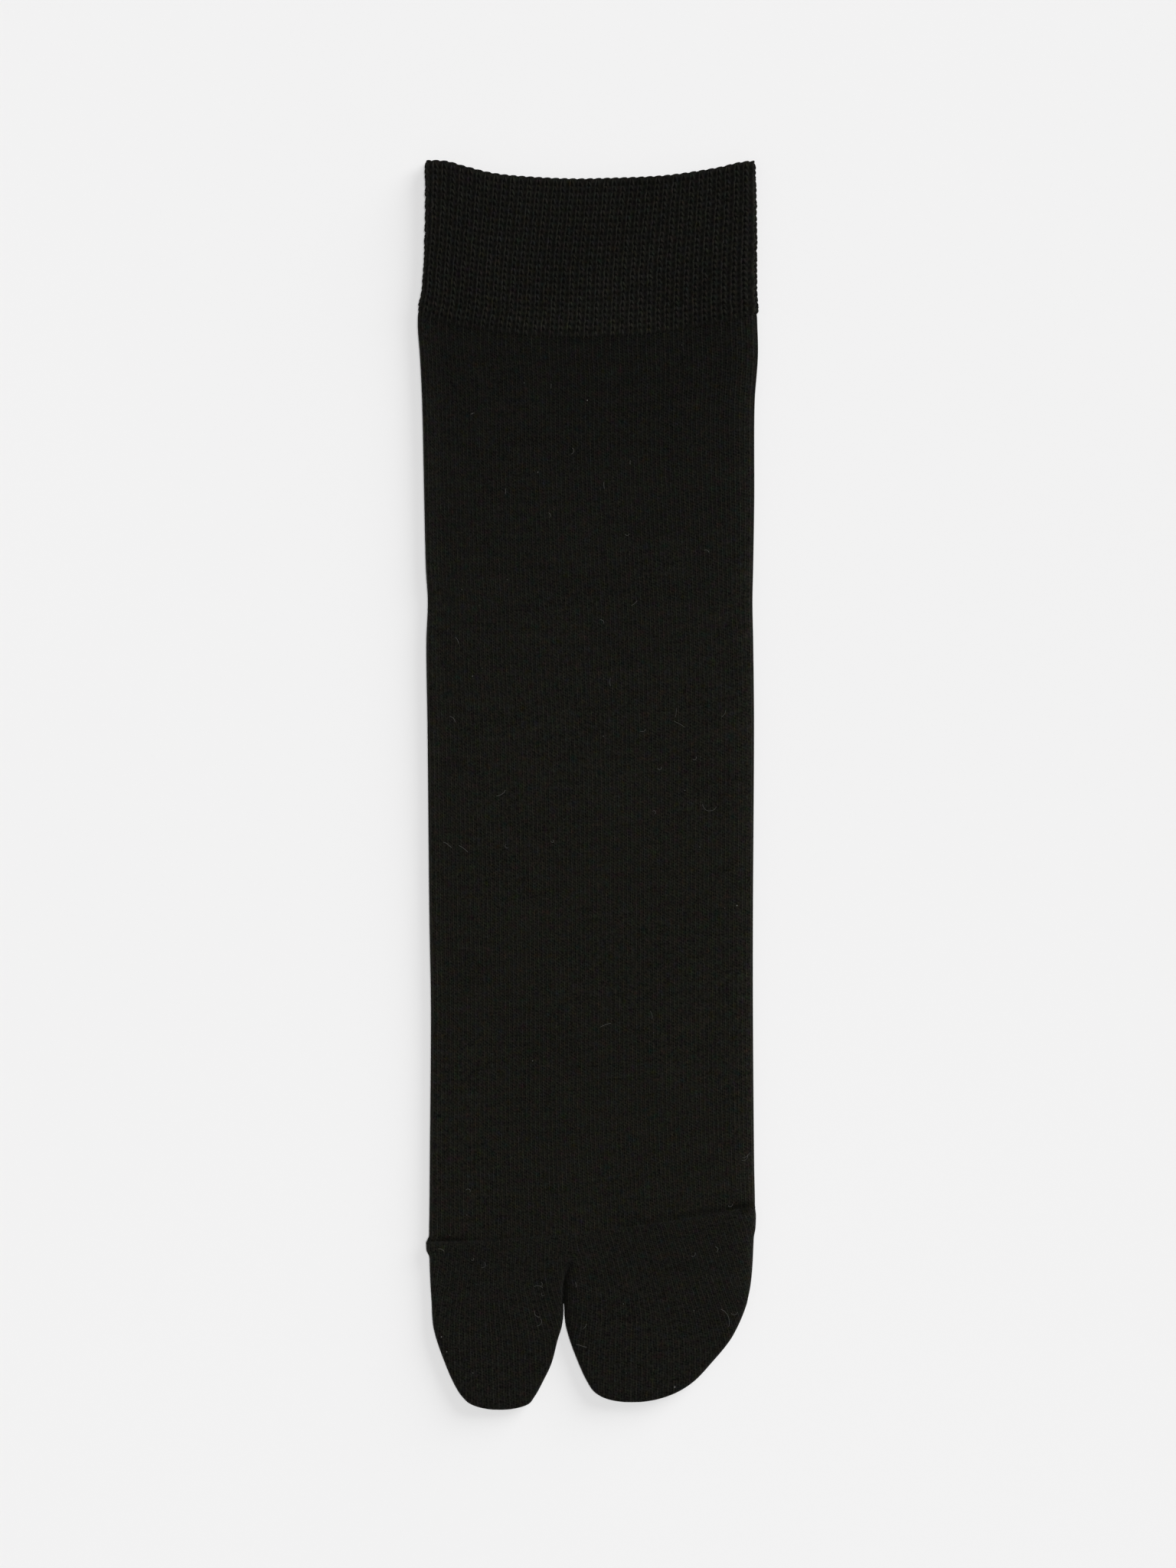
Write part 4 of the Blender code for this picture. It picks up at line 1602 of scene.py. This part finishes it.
def baked_mesh(piece):
    """The piece's mesh with its modifiers applied. The piece itself is removed."""
    graph = bpy.context.evaluated_depsgraph_get()
    mesh = bmesh.new()
    mesh.from_object(piece, graph)
    bpy.data.objects.remove(piece, do_unlink=True)
    return mesh


print(f"a rib is {RIB_WIDTH:.2f} mm wide and a course {COURSE_HEIGHT:.2f} mm high")

# %% [markdown]
# ## Wrap the fabric round the cuff
# A point's place across the flat fabric says how far round the cuff it goes, and its place along the
# fabric says which course it is on. The fabric has the instep side's ribs and two more, which go
# round the side folds. No two stitches of a rib lie alike, so each cell of the fabric gets a small
# push of its own, mostly along the rib. The last course sinks down to where the leg begins.

# %% Knit the fabric flat, then wrap it round the cuff
FABRIC_RIBS = RIB_COUNT + 2
STITCH_LIFT = 0.36
FIRST_COURSE = 0.95
COURSE_CLOSER = 0.99
NEXT_RIB, NEXT_COURSE = 7.3, 3.1
UNEVEN = Vector((0.11, 0.30, 0.20))
CELL_SHIFTS = (Vector((9.3, -1.5, -8.0)), Vector((0.0, 0.0, 0.0)), Vector((6.3, 0.2, -2.7)))
LAST_SINKS = 0.5
SINKS_OVER = 1.3


def wrap_turn(turn):
    """A turn that has run off either end, brought back to the loop of 0 to 2."""
    return turn % 2.0


def cell_wobble(cell):
    """Three numbers between -1 and 1 that differ from cell to cell, and are the same in each run."""
    return Vector([noise.noise(cell + shift) for shift in CELL_SHIFTS])


stitch = flat_stitch(STITCH_LEGS, YARN_RADIUS)
add_array(stitch, FABRIC_RIBS, (RIB_WIDTH, 0.0, 0.0))
add_array(stitch, CUFF_COURSES, (0.0, -COURSE_HEIGHT, 0.0))
fabric = baked_mesh(stitch)
for vert in fabric.verts:
    rib = vert.co.x / RIB_WIDTH - 0.5
    course = FIRST_COURSE - vert.co.y / COURSE_HEIGHT * COURSE_CLOSER
    cell = Vector((math.floor(rib) * NEXT_RIB, math.floor(course) * NEXT_COURSE, 0.5))
    wobble = cell_wobble(cell) * UNEVEN
    turn = wrap_turn((rib + wobble.x) / RIB_COUNT)
    share = (course + wobble.y) / CUFF_COURSES
    sunk = LAST_SINKS * clamped((course - CUFF_COURSES + 1.0) / SINKS_OVER) ** 2
    vert.co = cuff_place(turn, share, 0.0, STITCH_LIFT - sunk + vert.co.z + wobble.z)
print(f"the fabric has {FABRIC_RIBS} ribs, {CUFF_COURSES} courses and {len(fabric.faces)} faces")

# %% [markdown]
# ## The yarn of the stitches
# Cotton yarn is a twist of short fibres. Its surface is dull and a little hairy, and each stitch
# takes the dye and the light a bit differently. So this material uses the recipe above, and a fine
# bump for the fibres. Only the ribs' yarn gets paler where the cuff is stretched.

# %% Make the yarn's material
YARN_DARKEST = 0.3
YARN_ROUGH = 0.86
EACH_ROUGHER = 0.1
YARN_FIBRE_DEPTH = 0.00009
YARN_BUMP = 0.9
RIB_TONE = 1.03
RIM_TONE = 0.95
SEAM_TONE = 0.76


def cotton_yarn(name, tone, stretch_brighter=0.0):
    """Yarn that stands clear of the cloth."""
    board = Board(name, COTTON)
    spot = board.spot()
    yarn = yarn_noise(board, spot, YARN_MIX)
    if stretch_brighter:
        tone = tone * (1.0 + stretched(spot) * stretch_brighter)
    strength = yarn.uneven.at_least(YARN_DARKEST) * tone
    board.drive("Base Color", dyed(board, spot, strength, CUFF_DYE))
    board.drive("Roughness", YARN_ROUGH + yarn.each * EACH_ROUGHER)
    board.drive("Normal", board.bump(yarn.fuzz, YARN_FIBRE_DEPTH, YARN_BUMP))
    return board.material


rib_yarn = cotton_yarn("rib_yarn", RIB_TONE, STRETCH_BRIGHTER)
cuff_stitches = finish_cloth(fabric, "cuff_stitches", rib_yarn)

# %% [markdown]
# ## The edge of the rim
# A cuff isn't hemmed. Its first course is the edge, and each rib ends there in a small, soft loop, on
# both layers. The loops are one leg of yarn laid nearly level, once for each rib, all the way round.

# %% Loops round the rim
RIM_LOOP = (YarnLeg(0.0, 84.0, 1.05, 0.0, 0.16),)
RIM_LOOP_THICKNESS = 0.32
RIM_LOOP_LIFT = 0.05
RIM_LOOP_DOWN = 0.26

loop = flat_stitch(RIM_LOOP, RIM_LOOP_THICKNESS)
add_array(loop, 2 * RIB_COUNT, (RIB_WIDTH, 0.0, 0.0))
rim = baked_mesh(loop)
for vert in rim.verts:
    turn = wrap_turn(vert.co.x / RIB_WIDTH / RIB_COUNT + 0.5 / RIB_COUNT)
    lift = RIM_LOOP_LIFT + vert.co.z
    vert.co = cuff_place(turn, 0.0, RIM_LOOP_DOWN - vert.co.y, lift)
rim_loops = finish_cloth(rim, "rim_loops", cotton_yarn("rim_yarn", RIM_TONE))

# %% [markdown]
# ## The toe seam
# The toe is closed by linking, which joins each loop of one edge to a loop of the other. What shows
# is a low chain of slanted links, one for each wale. It stands up at both side folds, where the
# knitting is bunched, and lies almost flush in the middle. Its links are the stitch's yarn again, in
# one row, bent along the seam and all round the foot.

# %% Bend a row of links along the seam
SEAM_LINKS = 2 * WALES
LINK_THICKNESS = 0.30
SEAM_LINK = (YarnLeg(0.0, 64.0, 0.80, 0.0, 0.10),)
LINK_BURIED = -0.20
LINK_RAISED = 0.09
LINK_BELOW_SEAM = smooth_line([(-32.0, 0.55), (-20.0, 0.15)])
seam_left = left_fold(seam_down(-1.0))
seam_right = right_fold(seam_down(1.0))
LINK_WIDTH = side_path(seam_left, seam_right, LEG_THICKNESS) / WALES

link = flat_stitch(SEAM_LINK, LINK_THICKNESS)
add_array(link, SEAM_LINKS, (LINK_WIDTH, 0.0, 0.0))
chain = baked_mesh(link)
for vert in chain.verts:
    turn = wrap_turn(vert.co.x / LINK_WIDTH / WALES)
    base = section_point(turn, seam_left, seam_right, LEG_THICKNESS, 0.0)
    lift = LINK_BURIED + LINK_RAISED * seam_strength(base.across) * base.upper + vert.co.z
    point = section_point(turn, seam_left, seam_right, LEG_THICKNESS, lift)
    down = seam_at(base.across) + LINK_BELOW_SEAM(base.across) - vert.co.y
    height = point.height + point.upper * relief(point.across, down)
    across = point.across + bunched(point.across, down)
    vert.co = sock_point(across, down, max(height, 0.0))
seam_yarn = cotton_yarn("seam_yarn", SEAM_TONE)
toe_seam_chain = finish_cloth(chain, "toe_seam_chain", seam_yarn)
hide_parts("toe_seam")

# %% [markdown]
# ## Lint
# Black cotton shows every bit of fluff. There are two kinds here: short curled fibres, and pale
# specks. Both are small pieces of geometry, because they lie on top of the knitting and cast their
# own little shadows. Each fibre is a row with its start, its length in millimetres, how far it curls
# in all, and its first heading, both in degrees: 0 is to the right and 90 is towards the toes. A
# speck is a small ball.

# %% Fibres and specks on the cloth
Fibre = namedtuple("Fibre", "across down length curl heading")
Speck = namedtuple("Speck", "across down size")
FIBRES = (
    Fibre(-14.2, 297.4, 2.6, 90, -40),
    Fibre(-12.6, 297.2, 1.6, -160, 10),
    Fibre(-14.0, 303.7, 2.6, -100, 110),
    Fibre(-12.5, 305.8, 2.8, 120, 50),
    Fibre(-12.1, 299.0, 1.5, -200, 150),
    Fibre(-3.3, 296.2, 1.4, 20, 80),
    Fibre(-30.2, 289.8, 1.3, 200, 30),
    Fibre(-39.4, 287.4, 1.8, 100, -20),
    Fibre(-27.4, 291.0, 2.2, 160, 20),
    Fibre(28.2, 288.4, 1.9, 170, 60),
    Fibre(33.8, 288.3, 2.0, -150, -30),
    Fibre(35.0, 303.3, 5.6, 60, 20),
    Fibre(39.4, 304.0, 2.2, 140, 100),
    Fibre(-0.4, 307.1, 1.6, 40, 95),
    Fibre(-3.2, 312.6, 2.9, 10, 0),
    Fibre(-9.7, 59.7, 1.2, 20, 85),
    Fibre(-30.9, 67.7, 1.0, 10, -25),
    Fibre(-4.2, 76.5, 2.2, 150, 20),
    Fibre(11.1, 79.8, 1.0, 10, 90),
    Fibre(4.2, 85.5, 1.8, -40, 110),
    Fibre(-38.2, 180.3, 2.8, 15, 12),
    Fibre(-34.0, 181.2, 2.9, 15, 22),
    Fibre(30.2, 170.3, 5.0, -160, 95),
    Fibre(-32.2, 272.0, 2.0, 180, -70),
    Fibre(42.0, 262.6, 2.6, 100, 70),
    Fibre(38.0, 275.6, 1.8, 160, 60),
    Fibre(23.2, 145.0, 2.6, 20, 80),
    Fibre(22.6, 148.4, 3.4, 30, 25),
    Fibre(-21.8, 166.6, 3.0, 60, 100),
    Fibre(19.2, 160.5, 1.8, 220, 40),
    Fibre(17.0, 172.2, 1.7, 230, -60),
    Fibre(-21.0, 181.7, 1.8, 210, 130),
    Fibre(-9.3, 179.7, 1.6, 240, 10),
    Fibre(-21.8, 87.2, 1.6, 30, 75),
    Fibre(12.9, 116.8, 2.0, 20, 130),
    Fibre(-34.9, 126.4, 1.9, 60, 40),
    Fibre(5.9, 137.0, 2.3, -40, 105),
    Fibre(3.1, 121.8, 1.7, 120, -15),
    Fibre(-36.4, 147.2, 2.2, 80, 15),
    Fibre(36.2, 145.6, 2.2, 60, 85),
    Fibre(28.5, 157.8, 1.6, 160, 60),
    Fibre(15.2, 150.6, 1.8, 90, 110),
    Fibre(-10.4, 93.6, 1.5, 120, 20),
    Fibre(9.8, 99.2, 1.4, -140, 80),
    Fibre(30.6, 103.5, 1.6, 130, -40),
    Fibre(3.2, 229.0, 3.0, 30, -35),
    Fibre(16.4, 224.8, 2.2, 60, 50),
    Fibre(40.6, 263.4, 2.6, -50, 10),
)
SPECKS = (
    Speck(-38.6, 310.6, 0.20),
    Speck(-37.2, 314.5, 0.18),
    Speck(-30.3, 320.1, 0.16),
    Speck(-36.4, 283.8, 0.12),
    Speck(22.8, 323.8, 0.28),
    Speck(10.1, 320.1, 0.12),
    Speck(9.3, 301.9, 0.13),
    Speck(27.9, 303.7, 0.14),
    Speck(-2.0, 44.9, 0.15),
    Speck(24.7, 49.4, 0.09),
    Speck(-16.8, 59.4, 0.11),
    Speck(-0.2, 64.0, 0.20),
    Speck(-30.5, 67.4, 0.14),
    Speck(-7.9, 77.6, 0.09),
    Speck(-13.2, 82.9, 0.15),
    Speck(25.5, 166.7, 0.12),
    Speck(29.4, 181.6, 0.11),
    Speck(-25.3, 186.1, 0.09),
    Speck(-33.9, 202.4, 0.09),
    Speck(17.2, 230.5, 0.09),
    Speck(-11.5, 236.7, 0.08),
    Speck(-33.7, 240.4, 0.08),
    Speck(-20.2, 263.5, 0.10),
    Speck(-31.9, 278.5, 0.12),
    Speck(4.0, 152.4, 0.12),
    Speck(-33.2, 113.8, 0.12),
    Speck(-28.7, 117.9, 0.10),
    Speck(-21.3, 111.2, 0.11),
    Speck(-30.4, 136.6, 0.15),
    Speck(-27.9, 134.6, 0.09),
    Speck(36.0, 197.7, 0.11),
    Speck(39.2, 197.0, 0.22),
    Speck(-14.6, 237.9, 0.18),
)
print(len(FIBRES), "fibres and", len(SPECKS), "specks lie on the sock")

# %% [markdown]
# ## Make the fibres and specks
# A fibre could be modelled as a tube, but a curve needs only the points of its path and gives a thin,
# square thread round them. A small noise lets its heading wander, so that it isn't an even arc. The
# curve is then turned into a mesh, and the balls of the specks are added to it.

# %% Threads and balls
FIBRE_RADIUS = 0.038
FIBRE_STEPS = 16
FIBRE_WANDER = 0.15
WANDER_STEP = 0.55
LINT_CLEARANCE = 0.12


def on_top(across, down):
    """A point just above the upper side of the leg or the toe."""
    return sock_point(across, down, LEG_THICKNESS + relief(across, down) + LINT_CLEARANCE)


def fibre_path(fibre):
    """Points along a fibre. Its heading turns by its curl in all, and wanders on the way."""
    heading = math.radians(fibre.heading)
    across = fibre.across
    down = fibre.down
    path = []
    for step in range(FIBRE_STEPS + 1):
        path.append(on_top(across, down))
        bend = noise.noise(Vector((fibre.across, fibre.down, step * WANDER_STEP)))
        heading += math.radians(fibre.curl) / FIBRE_STEPS + bend * FIBRE_WANDER
        across += math.cos(heading) * fibre.length / FIBRE_STEPS
        down += math.sin(heading) * fibre.length / FIBRE_STEPS
    return path


threads = bpy.data.curves.new("threads", "CURVE")
threads.dimensions = "3D"
threads.bevel_depth = FIBRE_RADIUS * MM
threads.bevel_resolution = 0
threads.use_fill_caps = True
for fibre in FIBRES:
    path = fibre_path(fibre)
    thread = threads.splines.new("POLY")
    thread.points.add(len(path) - 1)
    for point, place in zip(thread.points, path):
        point.co = place.to_4d()
threads_object = add_object("threads", threads)
graph = bpy.context.evaluated_depsgraph_get()
threads_data = bpy.data.meshes.new_from_object(threads_object.evaluated_get(graph))
bpy.data.objects.remove(threads_object, do_unlink=True)

lint_mesh = bmesh.new()
lint_mesh.from_mesh(threads_data)
for speck in SPECKS:
    ball = bmesh.ops.create_icosphere(lint_mesh, subdivisions=1, radius=speck.size * MM)
    bmesh.ops.translate(lint_mesh, verts=ball["verts"], vec=on_top(speck.across, speck.down))
print(f"a fibre is {2 * FIBRE_RADIUS:.3f} mm thick")

# %% [markdown]
# ## The lint's material
# Fluff is grey, not white, and lets some of the black show through. Its tone changes from one fibre
# to the next and along each of them, so that some almost vanish.

# %% Colour the lint and finish it
FLUFF_GREY = (0.095, 0.094, 0.088)
FLUFF_SCALE = 120.0
FLUFF_DARKEST = 0.4
FLUFF_RANGE = 1.2

fluff = Board("pale_fluff", {"Roughness": 0.9, "Specular IOR Level": 0.1})
fluff_tone = FLUFF_DARKEST + fluff.noise(fluff.spot(), FLUFF_SCALE) * FLUFF_RANGE
fluff.drive("Base Color", fluff.tint(FLUFF_GREY, fluff_tone))
lint = finish_cloth(lint_mesh, "lint", fluff.material)

# A tube's sheet is as wide as the way round it. Its area is smaller than its width times its length,
# because each end is curved, slanted or split.

# %% The knitted tubes
print("the leg, the toe and the cuff are knitted tubes")

# %% [markdown]
# ## The floor
# The sock lies on a plain pale floor, large enough to fill the view from any side. It lies a little
# lower than the sock's underside, so that the two don't share a plane.

# %% Lay the floor
FLOOR_HEIGHT = -0.0003
FLOOR_SIZE = 12.0
FLOOR_COLOUR = (0.872, 0.870, 0.871)
FLOOR_SCALE = 3.0
FLOOR_DARKEST = 0.985
FLOOR_RANGE = 0.03

floor_mesh = bmesh.new()
bmesh.ops.create_grid(floor_mesh, x_segments=1, y_segments=1, size=FLOOR_SIZE / 2)
bmesh.ops.translate(floor_mesh, verts=floor_mesh.verts, vec=(0.0, 0.0, FLOOR_HEIGHT))
floor_board = Board("pale_floor", {"Roughness": 0.9, "Specular IOR Level": 0.0})
floor_tone = FLOOR_DARKEST + floor_board.noise(floor_board.spot(), FLOOR_SCALE) * FLOOR_RANGE
floor_board.drive("Base Color", floor_board.tint(FLOOR_COLOUR, floor_tone))
floor = add_object("floor", as_data(floor_mesh, "floor"))
floor.data.materials.append(floor_board.material)
print(f"the floor lies {-FLOOR_HEIGHT / MM:.1f} mm below the sock")

# %% [markdown]
# ## Two soft lights
# The main light is a large, soft one from above and a little to the right. A second, softer one from
# the upper right makes the wider shadow on the left and below. Both are suns, whose light is the same
# everywhere, so the sock's tone doesn't change from one end to the other. A sun's size in degrees is
# what makes its shadows soft.

# %% Hang the lights
Sun = namedtuple("Sun", "name strength size_degrees towards")
SUNS = (
    Sun("overhead", 2.34, 14.0, (0.05, 0.03, 1.0)),
    Sun("upper_right", 1.56, 42.0, (1.85, 1.60, 1.0)),
)
for sun in SUNS:
    light = bpy.data.lights.new(sun.name, "SUN")
    light.energy = sun.strength
    light.angle = math.radians(sun.size_degrees)
    lamp = add_object(sun.name, light)
    lamp.rotation_euler = Vector(sun.towards).to_track_quat("Z", "Y").to_euler()
    print(f"{sun.name} is {sun.size_degrees:.0f} degrees wide")

# %% [markdown]
# ## The room
# The room gives a weak light from all sides, which keeps the shadows from going black. In a low view
# the camera also sees the room behind the floor, and as a weak light it would be dark there. So a
# Light Path node asks whether the camera looks, and shows it a pale room, while the sock gets only
# the weak light.

# %% Light the room
ROOM_LIGHT = 0.10
ROOM_SEEN = 0.97
ROOM_GREY = (0.9, 0.9, 0.9, 1.0)

room = bpy.data.worlds.new("room")
room.use_nodes = True
backdrop = room.node_tree.nodes["Background"]
backdrop.inputs["Color"].default_value = ROOM_GREY
seen = room.node_tree.nodes.new("ShaderNodeLightPath")
strength = room.node_tree.nodes.new("ShaderNodeMapRange")
strength.inputs["To Min"].default_value = ROOM_LIGHT
strength.inputs["To Max"].default_value = ROOM_SEEN
room.node_tree.links.new(seen.outputs["Is Camera Ray"], strength.inputs["Value"])
room.node_tree.links.new(strength.outputs["Result"], backdrop.inputs["Strength"])
bpy.context.scene.world = room
bpy.context.scene.view_settings.view_transform = "Standard"
print("the room shines with", ROOM_LIGHT, "and is seen with", ROOM_SEEN)

# %% [markdown]
# ## The camera
# It looks straight down on the sock's middle, through a long lens from well above. From there a
# height of a few millimetres hardly shifts anything, so the outline shows as it is.

# %% Place the camera
LENS = 120.0
SENSOR = 36.0
VIEW_HEIGHT = 0.4139
camera_data = bpy.data.cameras.new("camera")
camera_data.lens = LENS
camera_data.sensor_width = SENSOR
camera = add_object("camera", camera_data)
camera.location = (0.0, 0.0, VIEW_HEIGHT * LENS / SENSOR)
bpy.context.scene.camera = camera
print(f"the camera is {camera.location.z:.2f} m above the floor")

# %% [markdown]
# ## The dressed sock's size
# The dressed sock may be a little larger than its solids, because stitches stand proud, but not by
# much.
